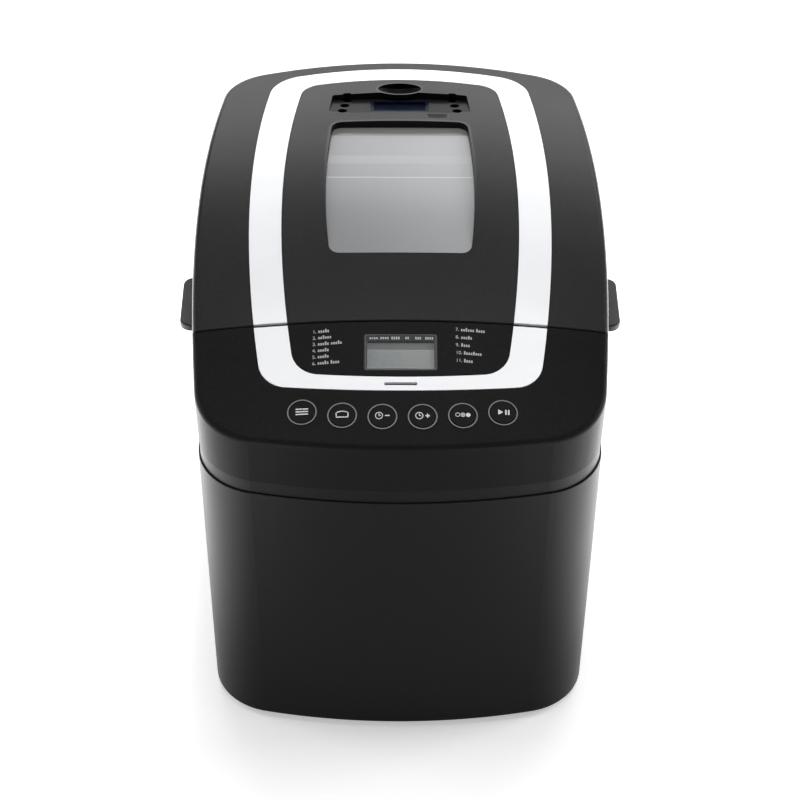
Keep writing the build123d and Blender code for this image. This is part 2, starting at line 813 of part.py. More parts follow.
# ---------------------------------------------------------------- steam vent
vent_holes = []
for side in (-1, 1):
    for index in range(3):
        hole_x = side * (vent_hole_x[0] - vent_hole_x[1] * index)
        vent_holes.append((hole_x, vent_front_y + vent_hole_rows[0] + vent_hole_rows[1] * index))
vent_slot_y = vent_front_y + vent_slot_start + vent_slot[1] / 2
with BuildPart() as vent_tray:
    add(prism(vent_outline(), lid_bottom_z, crown_z))
    add(under_top(), mode=Mode.INTERSECT)
    add(vent_floor_bottom, mode=Mode.SUBTRACT)
    add(prism(vent_outline(-1.4), lid_bottom_z, crown_z) - vent_floor_top, mode=Mode.SUBTRACT)
    add(prism(dish_outline(), lid_bottom_z, crown_z), mode=Mode.SUBTRACT)
    with BuildSketch(Plane.XY.offset(lid_bottom_z)):
        with Locations(*vent_holes):
            Circle(vent_hole_r)
        with Locations((0, vent_slot_y)):
            Rectangle(vent_slot[0], vent_slot[1])
    extrude(amount=crown_z - lid_bottom_z, mode=Mode.SUBTRACT)
save(vent_tray.part, "vent_tray")

slot_prism = Pos(0, vent_slot_y, 0) * Rectangle(vent_slot[0], vent_slot[1])
with BuildPart() as vent_insert:
    add(prism(slot_prism, lid_bottom_z, crown_z))
    add(vent_floor_top, mode=Mode.INTERSECT)
    add(
        below_line((vent_front_y, recess_front_z - vent_floor - 2),
                   (vent_back_y, recess_back_z - vent_floor - 2)),
        mode=Mode.SUBTRACT,
    )
    with BuildSketch(Plane.XY.offset(lid_bottom_z)):
        with Locations((0, vent_slot_y)):
            Rectangle(vent_slot[0] - 4.4, vent_slot[1] - 3)
    sunk = extrude(amount=crown_z - lid_bottom_z, mode=Mode.PRIVATE)
    add(
        sunk - below_line((vent_front_y, recess_front_z - 2), (vent_back_y, recess_back_z - 2)),
        mode=Mode.SUBTRACT,
    )
save(vent_insert.part, "vent_insert")

with BuildPart() as finger_dish:
    add(prism(dish_outline(), top_height(dish_y) - dish_depth - 2, crown_z))
    add(under_top(), mode=Mode.INTERSECT)
    bowl_r = (dish_radii[0] ** 2 + dish_depth**2) / (2 * dish_depth)
    with BuildSketch(Plane.XZ.offset(-dish_y)) as bowl_half:
        with BuildLine():
            CenterArc((0, top_height(dish_y) - dish_depth + bowl_r), bowl_r, 270, 90)
            Polyline(
                (bowl_r, top_height(dish_y) - dish_depth + bowl_r),
                (0, top_height(dish_y) - dish_depth + bowl_r),
                (0, top_height(dish_y) - dish_depth),
            )
        make_face()
    bowl = revolve(
        axis=Axis((0, dish_y, 0), (0, 0, 1)), revolution_arc=360, mode=Mode.PRIVATE
    )
    add(bowl & prism(dish_outline(-1.0), lid_bottom_z, crown_z), mode=Mode.SUBTRACT)
save(finger_dish.part, "finger_dish")

# ---------------------------------------------------------------- inner side of the lid
liner_dish = 12.0
liner_dish_size = (chamber_size[0] - 6, chamber_size[1] - 8)
inner_window_margin = 7.3  # the outer window's length less the inner one's
inner_window = (84.0, window_back_y - window_front_y - inner_window_margin)
inner_glass_lap = 6.0
inner_glass_size = (inner_window[0] + 2 * inner_glass_lap, inner_window[1] + 2 * inner_glass_lap)
steam_hole_r = 2.5
lid_front_inner = seam_y + lid_gap + lid_wall + fit_gap
with BuildPart() as lid_liner:
    add(
        upper_form(lid_wall + fit_gap)
        & block((-far, lid_front_inner, liner_z), (far, far, liner_z + liner_sheet))
    )
    add(
        rounded_box(liner_dish_size, chamber_corner_r, liner_z, liner_z + liner_dish + liner_sheet,
                    chamber_y)
    )
    add(
        rounded_box(
            (liner_dish_size[0] - 2 * liner_sheet, liner_dish_size[1] - 2 * liner_sheet),
            chamber_corner_r - liner_sheet,
            liner_z,
            liner_z + liner_dish,
            chamber_y,
        ),
        mode=Mode.SUBTRACT,
    )
    with BuildSketch(Plane.XY.offset(liner_z)):
        with Locations((0, window_front_y / 2 + window_back_y / 2)):
            RectangleRounded(inner_window[0], inner_window[1], 8)
        with Locations((0, chamber_y + liner_dish_size[1] / 2 - 12)):
            with GridLocations(12, 8, 5, 1):
                Circle(steam_hole_r)
    extrude(amount=liner_dish + 2 * liner_sheet, mode=Mode.SUBTRACT)
save(lid_liner.part, "lid_liner")

with BuildPart() as inner_glass:
    with BuildSketch(Plane.XY.offset(liner_z + liner_dish + liner_sheet)):
        with Locations((0, window_front_y / 2 + window_back_y / 2)):
            RectangleRounded(inner_glass_size[0], inner_glass_size[1], 10)
    extrude(amount=3.0)
save(inner_glass.part, "inner_glass")

gasket_width = 5.0
with BuildPart() as lid_gasket:
    with BuildSketch(Plane.XY.offset(deck_z + chamber_sheet + fit_gap)):
        with Locations((0, chamber_y)):
            RectangleRounded(chamber_size[0] + 6, chamber_size[1] + 6, chamber_corner_r + 3)
            RectangleRounded(
                chamber_size[0] + 6 - 2 * gasket_width,
                chamber_size[1] + 6 - 2 * gasket_width,
                chamber_corner_r + 3 - gasket_width,
                mode=Mode.SUBTRACT,
            )
    extrude(amount=liner_z - deck_z - chamber_sheet - fit_gap)
save(lid_gasket.part, "lid_gasket")


screw_head = (3.0, 1.6)  # radius and height of the screws that show underneath
with BuildPart() as lid_screws:
    for x, y in lid_bosses:
        add(upright(screw_head[0], liner_z - screw_head[1], liner_z, x, y))
save(lid_screws.part, "lid_screws")

# ---------------------------------------------------------------- baking chamber
hub_r = 13.0
hub_clear = 0.3
element_legs = [(-15.0, 0.0), (15.0, 0.0)]
element_front_y = chamber_y - element_size[1] / 2
with BuildPart() as chamber_liner:
    add(rounded_box(
        (chamber_size[0] + 2 * chamber_sheet, chamber_size[1] + 2 * chamber_sheet),
        chamber_corner_r + chamber_sheet, chamber_floor_z, deck_z, chamber_y))
    with BuildSketch(Plane.XY.offset(deck_z)):
        with Locations((0, chamber_y)):
            RectangleRounded(
                chamber_size[0] + 2 * chamber_flange,
                chamber_size[1] + 2 * chamber_flange,
                chamber_corner_r + chamber_flange,
            )
    extrude(amount=chamber_sheet)
    add(
        rounded_box(chamber_size, chamber_corner_r, chamber_floor_z + chamber_sheet,
                    deck_z + chamber_sheet, chamber_y),
        mode=Mode.SUBTRACT,
    )
    with BuildSketch(Plane.XY.offset(chamber_floor_z)):
        with Locations((0, chamber_y)):
            Circle(drive_shaft_r + bush_wall + 1)
        with Locations(*[(x, element_front_y) for x, _ in element_legs]):
            Circle(element_r + fit_gap)
    extrude(amount=chamber_sheet, mode=Mode.SUBTRACT)
save(chamber_liner.part, "chamber_liner")

shield_size = (chamber_size[0] + 2 * (chamber_sheet + shield_gap),
               chamber_size[1] + 2 * (chamber_sheet + shield_gap))
with BuildPart() as heat_shield:
    add(rounded_box(shield_size, chamber_corner_r + shield_gap, shield_floor_z,
                    deck_z - deck_thickness, chamber_y))
    add(
        rounded_box(
            (shield_size[0] - 2 * shield_sheet, shield_size[1] - 2 * shield_sheet),
            chamber_corner_r + shield_gap - shield_sheet,
            shield_floor_z + shield_sheet,
            deck_z - deck_thickness,
            chamber_y,
        ),
        mode=Mode.SUBTRACT,
    )
    with BuildSketch(Plane.XY.offset(shield_floor_z)):
        with Locations((0, chamber_y)):
            Circle(hub_r + hub_clear)
        with Locations(*[(x, element_front_y) for x, _ in element_legs]):
            Circle(element_r + 2)
    extrude(amount=shield_sheet, mode=Mode.SUBTRACT)
save(heat_shield.part, "heat_shield")

element_back_y = chamber_y + element_size[1] / 2
element_leg_z = shield_floor_z - 8
with BuildPart() as heating_element:
    with BuildLine():
        FilletPolyline(
            (15.0, element_front_y, element_leg_z),
            (15.0, element_front_y, element_z),
            (element_size[0] / 2, element_front_y, element_z),
            (element_size[0] / 2, element_back_y, element_z),
            (-element_size[0] / 2, element_back_y, element_z),
            (-element_size[0] / 2, element_front_y, element_z),
            (-15.0, element_front_y, element_z),
            (-15.0, element_front_y, element_leg_z),
            radius=10.0,
        )
    with BuildSketch(Plane((15.0, element_front_y, element_leg_z), z_dir=(0, 0, 1))):
        Circle(element_r)
    sweep()
save(heating_element.part, "heating_element")

clamp_low = chamber_floor_z + chamber_sheet
with BuildPart() as element_clamps:
    for x in (-element_size[0] / 2, element_size[0] / 2):
        for y in (chamber_y - 50, chamber_y + 50):
            add(block((x - 5, y - 3, clamp_low), (x + 5, y + 3, element_z)))
            with BuildSketch(Plane.XZ.offset(-y - 3)):
                with Locations((x, element_z)):
                    Circle(element_r)
            extrude(amount=6, mode=Mode.SUBTRACT)
save(element_clamps.part, "element_clamps")

with BuildPart() as temperature_sensor:
    with BuildSketch(Plane.XZ.offset(-(chamber_y - chamber_size[1] / 2))):
        with Locations((52.0, chamber_floor_z + 80)):
            Circle(5.0)
    extrude(amount=-2.0)
    with BuildSketch(Plane.XZ.offset(-(chamber_y - chamber_size[1] / 2 + 2.0))):
        with Locations((52.0, chamber_floor_z + 80)):
            Circle(2.0)
    extrude(amount=-4.0)
save(temperature_sensor.part, "temperature_sensor")

with BuildPart() as thermal_fuse:
    with BuildSketch(Plane.XZ.offset(-(chamber_y - shield_size[1] / 2))):
        with Locations((-30.0, chamber_floor_z + 60)):
            RectangleRounded(24.0, 9.0, 3.0)
    extrude(amount=4.0)
save(thermal_fuse.part, "thermal_fuse")

clip_z = chamber_floor_z + chamber_sheet
with BuildPart() as pan_clips:
    for side in (-1, 1):
        x_wall = side * chamber_size[0] / 2
        x_tip = side * (pan_top[0] / 2 + 1.2)
        with BuildSketch(Plane.XZ.offset(-chamber_y - 9)):
            with BuildLine():
                Polyline(
                    (x_wall, clip_z + 40),
                    (x_wall, clip_z + 90),
                    (x_tip, clip_z + 62),
                    (x_tip, clip_z + 60),
                    (x_wall - side * 1.0, clip_z + 86),
                    (x_wall - side * 1.0, clip_z + 40),
                    close=True,
                )
            make_face()
        extrude(amount=18)
save(pan_clips.part, "pan_clips")

# ---------------------------------------------------------------- bread pan
pan_seat_r = 38.0
pan_bush_r = 9.0
coupling_z = chamber_floor_z + 6.6
coupling_height = 6.0
lug_sheet = 1.5
lug_half = 7.0
with BuildPart() as pan:
    add(rounded_box(pan_top, pan_corner_r, pan_floor_z, pan_rim_z, chamber_y, pan_taper))
    with BuildSketch(Plane.XY.offset(pan_rim_z - pan_wall)):
        with Locations((0, chamber_y)):
            RectangleRounded(pan_top[0] + 2 * pan_rim, pan_top[1] + 2 * pan_rim, pan_corner_r + pan_rim)
    extrude(amount=pan_wall)
    add(
        rounded_box(
            (pan_top[0] - 2 * pan_wall, pan_top[1] - 2 * pan_wall),
            pan_corner_r - pan_wall,
            pan_floor_z + pan_wall,
            pan_rim_z,
            chamber_y,
            pan_taper,
        ),
        mode=Mode.SUBTRACT,
    )
    with BuildSketch(Plane.XY.offset(pan_floor_z)):
        with Locations((0, chamber_y)):
            Circle(pan_bush_r)
    extrude(amount=pan_wall, mode=Mode.SUBTRACT)
    # upright lugs on the rim's short sides, which carry the handle
    for side in (-1, 1):
        y_lug = chamber_y + side * (pan_top[1] / 2 + 1.0)
        with BuildSketch(Plane.XZ.offset(-y_lug - lug_sheet / 2)):
            with BuildLine():
                Polyline(
                    (-lug_half, bail_z),
                    (-lug_half, pan_rim_z - pan_wall / 2),
                    (lug_half, pan_rim_z - pan_wall / 2),
                    (lug_half, bail_z),
                )
                ThreePointArc((lug_half, bail_z), (0, bail_z + lug_half), (-lug_half, bail_z))
            make_face()
            with Locations((0, bail_z)):
                Circle(bail_wire_r + fit_gap, mode=Mode.SUBTRACT)
        extrude(amount=lug_sheet)
save(pan.part, "pan")

with BuildPart() as pan_seat_ring:
    with BuildSketch(Plane.XY.offset(chamber_floor_z + chamber_sheet)):
        with Locations((0, chamber_y)):
            Circle(pan_seat_r)
            Circle(pan_seat_r - 2.5, mode=Mode.SUBTRACT)
    extrude(amount=pan_floor_z - chamber_floor_z - chamber_sheet)
save(pan_seat_ring.part, "pan_seat_ring")

pan_bush_rise = 4.0
pan_bush_collar = (4.0, 2.0)  # how far it stands out, and its height
pan_inner_z = pan_floor_z + pan_wall
with BuildPart() as pan_bush:
    add(upright(pan_bush_r, pan_floor_z, pan_inner_z + pan_bush_rise, 0, chamber_y))
    add(
        upright(pan_bush_r + pan_bush_collar[0], pan_inner_z, pan_inner_z + pan_bush_collar[1],
                0, chamber_y)
    )
    add(upright(pan_shaft_r + running_gap, 0, far, 0, chamber_y), mode=Mode.SUBTRACT)
save(pan_bush.part, "pan_bush")

seal_z = pan_floor_z + pan_wall + pan_bush_rise
seal_thickness = 1.6
seal_gap = 0.1
with BuildPart() as pan_seal:
    add(upright(pan_bush_r - 1, seal_z, seal_z + seal_thickness, 0, chamber_y))
    add(upright(pan_shaft_r + seal_gap, 0, far, 0, chamber_y), mode=Mode.SUBTRACT)
save(pan_seal.part, "pan_seal")

bail_end = pan_top[1] / 2 - 4
bail_span = pan_top[1] / 2 + 6
with BuildPart() as pan_bail:
    with BuildLine():
        FilletPolyline(
            (0, chamber_y - bail_end, bail_z),
            (0, chamber_y - bail_span, bail_z),
            (bail_reach, chamber_y - bail_span, bail_z),
            (bail_reach, chamber_y + bail_span, bail_z),
            (0, chamber_y + bail_span, bail_z),
            (0, chamber_y + bail_end, bail_z),
            radius=4.0,
        )
    with BuildSketch(Plane((0, chamber_y - bail_end, bail_z), z_dir=(0, -1, 0))):
        Circle(bail_wire_r)
    sweep()
save(pan_bail.part, "pan_bail")

flat_depth = 1.0


def flatted_shaft(grow, z_low, z_flat):
    """The pan's shaft with the flat that drives the paddle, all grown by grow."""
    with BuildPart() as shaft:
        add(upright(pan_shaft_r + grow, z_low, pan_shaft_top_z + grow, 0, chamber_y))
        add(
            block(
                (pan_shaft_r - flat_depth + grow, chamber_y - 2 * pan_shaft_r, z_flat),
                (2 * pan_shaft_r, chamber_y + 2 * pan_shaft_r, far),
            ),
            mode=Mode.SUBTRACT,
        )
    return shaft.part


with BuildPart() as pan_shaft:
    add(flatted_shaft(0, coupling_z, seal_z + seal_thickness + 0.6))
    chamfer(pan_shaft.edges().group_by(Axis.Z)[-1], 0.6)
save(pan_shaft.part, "pan_shaft")

with BuildPart() as pan_coupling:
    add(block((-16, chamber_y - 3, coupling_z), (16, chamber_y + 3, coupling_z + coupling_height)))
    add(upright(7.5, coupling_z, coupling_z + coupling_height, 0, chamber_y))
    add(upright(pan_shaft_r, 0, far, 0, chamber_y), mode=Mode.SUBTRACT)
save(pan_coupling.part, "pan_coupling")

paddle_low = seal_z + seal_thickness + 1.0
paddle_hub_r = 8.5
paddle_gap = 0.15
paddle_blade = (36.0, 30.0, 3.0)
with BuildPart() as kneading_paddle:
    add(upright(paddle_hub_r, paddle_low, pan_shaft_top_z + 3, 0, chamber_y))
    with BuildSketch(Plane.XZ.offset(-chamber_y - paddle_blade[2] / 2)):
        with BuildLine():
            Polyline(
                (0, paddle_low),
                (paddle_blade[0], paddle_low),
                (paddle_blade[0] - 2, paddle_low + paddle_blade[1] * 0.55),
            )
            ThreePointArc(
                (paddle_blade[0] - 2, paddle_low + paddle_blade[1] * 0.55),
                (paddle_blade[0] * 0.62, paddle_low + paddle_blade[1] * 0.93),
                (0, paddle_low + paddle_blade[1]),
            )
            Line((0, paddle_low + paddle_blade[1]), (0, paddle_low))
        make_face()
    extrude(amount=paddle_blade[2])
    add(flatted_shaft(paddle_gap, 0, 0), mode=Mode.SUBTRACT)
    fillet(kneading_paddle.edges().filter_by(GeomType.CIRCLE).sort_by(Axis.Z)[-1], 2.0)
save(kneading_paddle.part, "kneading_paddle")

# ---------------------------------------------------------------- chassis and drive
chassis_top_z = chassis_z + chassis_sheet
chassis_ends = (motor_y - motor_r - 2, chamber_y + 84)
with BuildPart() as chassis:
    add(block((-chassis_half_width, chassis_ends[0], tray_top_z),
              (chassis_half_width, chassis_ends[1], chassis_top_z)))
    add(
        block(
            (-chassis_half_width + chassis_sheet, chassis_ends[0], 0),
            (chassis_half_width - chassis_sheet, chassis_ends[1], chassis_z),
        ),
        mode=Mode.SUBTRACT,
    )
    add(upright(drive_shaft_r + 2, 0, far, 0, chamber_y), mode=Mode.SUBTRACT)
    add(upright(motor_shaft_r + 4, 0, far, 0, motor_y), mode=Mode.SUBTRACT)
save(chassis.part, "chassis")

bush_r = drive_shaft_r + bush_wall
with BuildPart() as bearing_housing:
    add(upright(hub_r, chassis_top_z, chamber_floor_z, 0, chamber_y))
    add(upright(44.0, shield_floor_z - 3, shield_floor_z, 0, chamber_y))
    add(upright(26.0, chassis_top_z, chassis_top_z + 3, 0, chamber_y))
    add(upright(bush_r, chassis_top_z, far, 0, chamber_y), mode=Mode.SUBTRACT)
save(bearing_housing.part, "bearing_housing")

with BuildPart() as shaft_bushes:
    for z in (chassis_top_z, chamber_floor_z - bush_length):
        add(upright(bush_r, z, z + bush_length, 0, chamber_y))
    add(upright(drive_shaft_r + running_gap, 0, far, 0, chamber_y), mode=Mode.SUBTRACT)
save(shaft_bushes.part, "shaft_bushes")

dog_low = chamber_floor_z + chamber_sheet + 0.6
dog_top = coupling_z + 3.6
with BuildPart() as drive_shaft:
    add(upright(drive_shaft_r, pulley_z - 1, dog_low + 3.4, 0, chamber_y))
save(drive_shaft.part, "drive_shaft")

with BuildPart() as drive_dog:
    add(upright(15.0, dog_low, dog_low + 3.4, 0, chamber_y))
    for side in (-1, 1):
        y_low = chamber_y + side * 11.0
        add(block((-4, y_low - 2.5, dog_low), (4, y_low + 2.5, dog_top)))
    add(upright(drive_shaft_r, 0, far, 0, chamber_y), mode=Mode.SUBTRACT)
save(drive_dog.part, "drive_dog")


def belt_pulley(r, shaft_r, y):
    """A belt pulley with two guide flanges, lightened between rim and hub if it is large."""
    with BuildPart() as pulley:
        add(upright(r, pulley_z, pulley_z + pulley_height, 0, y))
        add(upright(r + 2.5, pulley_z, pulley_z + 0.8, 0, y))
        add(upright(r + 2.5, pulley_z + pulley_height - 0.8, pulley_z + pulley_height, 0, y))
        add(upright(shaft_r, 0, far, 0, y), mode=Mode.SUBTRACT)
        if r > 4 * shaft_r:
            with BuildSketch(Plane.XY.offset(pulley_z)):
                with Locations((0, y)):
                    with PolarLocations(r * 0.58, 5):
                        Circle(r * 0.2)
            extrude(amount=pulley_height, mode=Mode.SUBTRACT)
    return pulley.part


save(belt_pulley(large_pulley_r, drive_shaft_r, chamber_y), "large_pulley")
save(belt_pulley(small_pulley_r, motor_shaft_r, motor_y), "motor_pulley")

belt_z = pulley_z + (pulley_height - belt_height) / 2


def belt_loop(outside):
    """Taut loop round both pulleys, outside their rims by the given distance."""
    with BuildSketch() as loop:
        with Locations((0, chamber_y)):
            Circle(large_pulley_r + outside)
        with Locations((0, motor_y)):
            Circle(small_pulley_r + outside)
        make_hull()
    return loop.sketch


with BuildPart() as drive_belt:
    add(prism(belt_loop(fit_gap + belt_thickness) - belt_loop(fit_gap), belt_z, belt_z + belt_height))
save(drive_belt.part, "drive_belt")

motor_top_z = chassis_top_z + motor_height
with BuildPart() as motor_body:
    add(upright(motor_r, chassis_top_z, motor_top_z, 0, motor_y))
    fillet(motor_body.edges().group_by(Axis.Z)[-1], 3)
    add(upright(motor_shaft_r + running_gap, 0, far, 0, motor_y), mode=Mode.SUBTRACT)
save(motor_body.part, "motor_body")

fan_z = motor_top_z + 2
fan_height = 7.0
fan_blades = 8
fan_blade_size = (20.0, 1.2, 6.0)
fan_pitch = 25.0


def fan_blade(turn):
    """One slanted blade of the motor's fan, turned about the shaft."""
    with BuildPart() as blade:
        hub = Plane((0, motor_y, fan_z + fan_height / 2), x_dir=(1, 0, 0), z_dir=(0, 0, 1))
        with Locations(hub.rotated((0, 0, turn))):
            with Locations((fan_blade_size[0] / 2 + motor_shaft_r + 2, 0, 0)):
                Box(*fan_blade_size, rotation=(fan_pitch, 0, 0))
    return blade.part


with BuildPart() as motor_shaft:
    add(upright(motor_shaft_r, pulley_z - 1, fan_z + fan_height, 0, motor_y))
save(motor_shaft.part, "motor_shaft")

with BuildPart() as motor_fan:
    add(upright(2 * motor_shaft_r, fan_z, fan_z + fan_height, 0, motor_y))
    for step in range(fan_blades):
        add(fan_blade(step * 360 / fan_blades))
    add(upright(motor_shaft_r, 0, far, 0, motor_y), mode=Mode.SUBTRACT)
save(motor_fan.part, "motor_fan")

with BuildPart() as motor_capacitor:
    add(upright(12.0, chassis_top_z, chassis_top_z + 38, -54, motor_y + 22))
    fillet(motor_capacitor.edges().group_by(Axis.Z)[-1], 1.5)
save(motor_capacitor.part, "motor_capacitor")

# ---------------------------------------------------------------- power board, gland, screws
board_x = 90.0
with BuildPart() as power_board:
    add(block((board_x, motor_y - 14, tray_top_z), (board_x + 1.6, motor_y + 46, tray_top_z + 92)))
    add(block((board_x - 18, motor_y - 6, tray_top_z + 40), (board_x, motor_y + 12, tray_top_z + 58)))
    add(block((board_x - 24, motor_y + 18, tray_top_z + 34), (board_x, motor_y + 42, tray_top_z + 62)))
    with BuildSketch(Plane.YZ.offset(board_x)):
        with Locations((motor_y + 4, tray_top_z + 74), (motor_y + 26, tray_top_z + 78)):
            Circle(6)
    extrude(amount=-14)
save(power_board.part, "power_board")

gland_wall_y = base_ends[1] + 1.0 - back_bow * (gland_x / (width / 2 - base_side_in[1])) ** 2
with BuildPart() as cord_gland:
    with BuildSketch(Plane.XZ.offset(-(gland_wall_y - 10))):
        with Locations((gland_x, gland_z)):
            Circle(gland_neck_r)
    extrude(amount=-18)
    with BuildSketch(Plane.XZ.offset(-(gland_wall_y + 1))):
        with Locations((gland_x, gland_z)):
            Circle(gland_neck_r + 3)
    extrude(amount=-3)
    with BuildSketch(Plane.XZ.offset(-(gland_wall_y - 20))):
        with Locations((gland_x, gland_z)):
            Circle(gland_bore_r)
    extrude(amount=-40, mode=Mode.SUBTRACT)
save(cord_gland.part, "cord_gland")

with BuildPart() as base_screws:
    for x in (-chassis_half_width - 12, chassis_half_width + 12):
        for y in (chamber_y - 60, chamber_y + 30):
            add(upright(screw_head[0], tray_z - screw_head[1], tray_z, x, y))
save(base_screws.part, "base_screws")
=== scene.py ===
# %% [markdown]
# # A bread machine, dressed for its portrait
# The measured model arrives as a fixed frame: every moulding, sheet and shaft already has
# its true shape and place. This lesson gives each of them a finish, adds the small printed
# details, and lights the whole like a catalogue picture. Everything is in metres, the front
# looks towards -Y and the worktop is at Z = 0.

import math

import bmesh
import bpy
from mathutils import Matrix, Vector


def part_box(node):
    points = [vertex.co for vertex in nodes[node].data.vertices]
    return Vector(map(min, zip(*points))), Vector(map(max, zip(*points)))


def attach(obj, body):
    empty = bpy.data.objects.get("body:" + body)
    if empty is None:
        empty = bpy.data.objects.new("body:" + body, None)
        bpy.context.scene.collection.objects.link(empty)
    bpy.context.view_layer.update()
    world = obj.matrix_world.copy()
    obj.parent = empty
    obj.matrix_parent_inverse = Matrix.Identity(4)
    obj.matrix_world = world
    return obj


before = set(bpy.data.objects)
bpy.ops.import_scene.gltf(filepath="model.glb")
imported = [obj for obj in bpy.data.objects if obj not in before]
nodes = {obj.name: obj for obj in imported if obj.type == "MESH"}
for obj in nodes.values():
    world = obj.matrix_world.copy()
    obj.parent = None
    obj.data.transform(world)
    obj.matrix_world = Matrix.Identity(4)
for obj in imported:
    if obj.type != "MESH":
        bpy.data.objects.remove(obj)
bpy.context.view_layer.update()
MM = 0.001
print("pieces in the frame:", len(nodes))


# %% [markdown]
# ## Camera
# A long lens from high in front flattens the machine a little, as product pictures do. The
# camera stands a centimetre to the left of the middle plane and leans by less than half a
# degree, as a camera on a tripod does when it is levelled by eye. A small sideways shift of
# the lens sets the machine in the frame without turning the view.

# %% Camera
FRAMING_SHIFT = -0.008


def add_camera(place, turn_degrees, lens):
    """A camera at a place, turned about X, Y and Z."""
    turn = tuple(math.radians(angle) for angle in turn_degrees)
    bpy.ops.object.select_all(action="DESELECT")
    bpy.ops.object.camera_add(location=place, rotation=turn)
    camera = bpy.context.object
    camera.name = "portrait_camera"
    camera.data.lens = lens
    camera.data.sensor_width = 36.0
    camera.data.shift_x = FRAMING_SHIFT
    camera.data.clip_end = 50.0
    bpy.context.scene.camera = camera
    return camera


camera = add_camera((-0.0100, -1.2955, 1.2170), (50.096, -0.406, -0.321), 114.55)
print("camera at", tuple(round(v, 3) for v in camera.location))


# %% [markdown]
# ## Floor and light
# Black plastic is drawn by what it mirrors. The upright walls of the body mirror the floor,
# so the floor glows a little, and more towards the sides, which draws the bright rims down
# the body. The lid mirrors what stands behind the machine: a wide soft light low at the back
# gives the rear of the lid its sheen and leaves the front dark. A soft light overhead fills
# the rest.

# %% Floor and light
FLOOR_GLOW = 0.42
SIDE_GLOW = 5.0


def add_floor(size, colour):
    """A plain pale floor whose glow grows to the left and right of the machine."""
    bpy.ops.object.select_all(action="DESELECT")
    bpy.ops.mesh.primitive_plane_add(size=size, location=(0, 0, 0))
    floor = bpy.context.object
    floor.name = "floor"
    material = bpy.data.materials.new("pale_floor")
    material.use_nodes = True
    tree = material.node_tree
    shader = tree.nodes["Principled BSDF"]
    shader.inputs["Base Color"].default_value = (*colour, 1)
    shader.inputs["Roughness"].default_value = 0.8
    shader.inputs["Specular IOR Level"].default_value = 0.1
    shader.inputs["Emission Color"].default_value = (1, 1, 1, 1)
    place = tree.nodes.new("ShaderNodeTexCoord")
    across = tree.nodes.new("ShaderNodeSeparateXYZ")
    tree.links.new(place.outputs["Object"], across.inputs[0])
    aside = tree.nodes.new("ShaderNodeMath")
    aside.operation = "ABSOLUTE"
    tree.links.new(across.outputs["X"], aside.inputs[0])
    glow = tree.nodes.new("ShaderNodeMapRange")
    glow.interpolation_type = "SMOOTHSTEP"
    for label, value in (("From Min", 0.12), ("From Max", 0.34), ("To Min", FLOOR_GLOW),
                         ("To Max", SIDE_GLOW)):
        glow.inputs[label].default_value = value
    tree.links.new(aside.outputs[0], glow.inputs["Value"])
    tree.links.new(glow.outputs[0], shader.inputs["Emission Strength"])
    floor.data.materials.append(material)
    return floor


def add_softbox(name, place, target, size, power):
    """A rectangular soft light that points at the target."""
    bpy.ops.object.select_all(action="DESELECT")
    bpy.ops.object.light_add(type="AREA", location=place)
    lamp = bpy.context.object
    lamp.name = name
    lamp.data.shape = "RECTANGLE"
    lamp.data.size = size[0]
    lamp.data.size_y = size[1]
    lamp.data.energy = power
    lamp.rotation_euler = (Vector(target) - Vector(place)).to_track_quat("-Z", "Y").to_euler()
    return lamp


add_floor(14.0, (0.9, 0.9, 0.9))
middle = (0, 0, 0.25)
add_softbox("back_softbox", (0.25, 2.6, 1.75), middle, (3.2, 1.5), 70)
add_softbox("top_softbox", (0, 0.1, 2.4), middle, (1.6, 1.2), 17)
add_softbox("left_softbox", (-2.0, 0.4, 1.2), middle, (0.8, 1.6), 14)
add_softbox("right_softbox", (2.0, 0.4, 1.2), middle, (0.8, 1.6), 22)

world = bpy.data.worlds.new("studio")
bpy.context.scene.world = world
world.use_nodes = True
world.node_tree.nodes["Background"].inputs["Color"].default_value = (1, 1, 1, 1)
world.node_tree.nodes["Background"].inputs["Strength"].default_value = 0.22
bpy.context.scene.view_settings.view_transform = "Standard"


# %% [markdown]
# ## The finishes, one small tool at a time
# Almost everything outside is moulded black plastic. A flat black would look like a cut-out,
# so each finish gets three quiet irregularities: a fine grain that breaks up the gloss, a
# slow cloudiness in the colour, and a trace of dust that settles on faces that look up.
# The grain is used by many materials, so it is a node group, built once and then placed in
# each material with its own scale and strength.

# %% Group: moulded grain
def new_group(name, inputs, outputs):
    """An empty shader group with number inputs and the outputs that are asked for."""
    group = bpy.data.node_groups.new(name, "ShaderNodeTree")
    for label, value in inputs:
        socket = group.interface.new_socket(label, in_out="INPUT", socket_type="NodeSocketFloat")
        socket.default_value = value
    for label, kind in outputs:
        group.interface.new_socket(label, in_out="OUTPUT", socket_type=kind)
    return group, group.nodes.new("NodeGroupInput"), group.nodes.new("NodeGroupOutput")


def math_node(tree, operation, first, second=None):
    """One arithmetic node; each side is a number or a socket."""
    node = tree.nodes.new("ShaderNodeMath")
    node.operation = operation
    for index, value in enumerate((first, second)):
        if value is None:
            continue
        if isinstance(value, (int, float)):
            node.inputs[index].default_value = value
        else:
            tree.links.new(value, node.inputs[index])
    return node.outputs[0]


def noise(tree, vector, scale, detail=2.0):
    """A noise texture whose scale is a number or a socket."""
    node = tree.nodes.new("ShaderNodeTexNoise")
    tree.links.new(vector, node.inputs["Vector"])
    node.inputs["Detail"].default_value = detail
    if isinstance(scale, (int, float)):
        node.inputs["Scale"].default_value = scale
    else:
        tree.links.new(scale, node.inputs["Scale"])
    return node.outputs["Fac"]


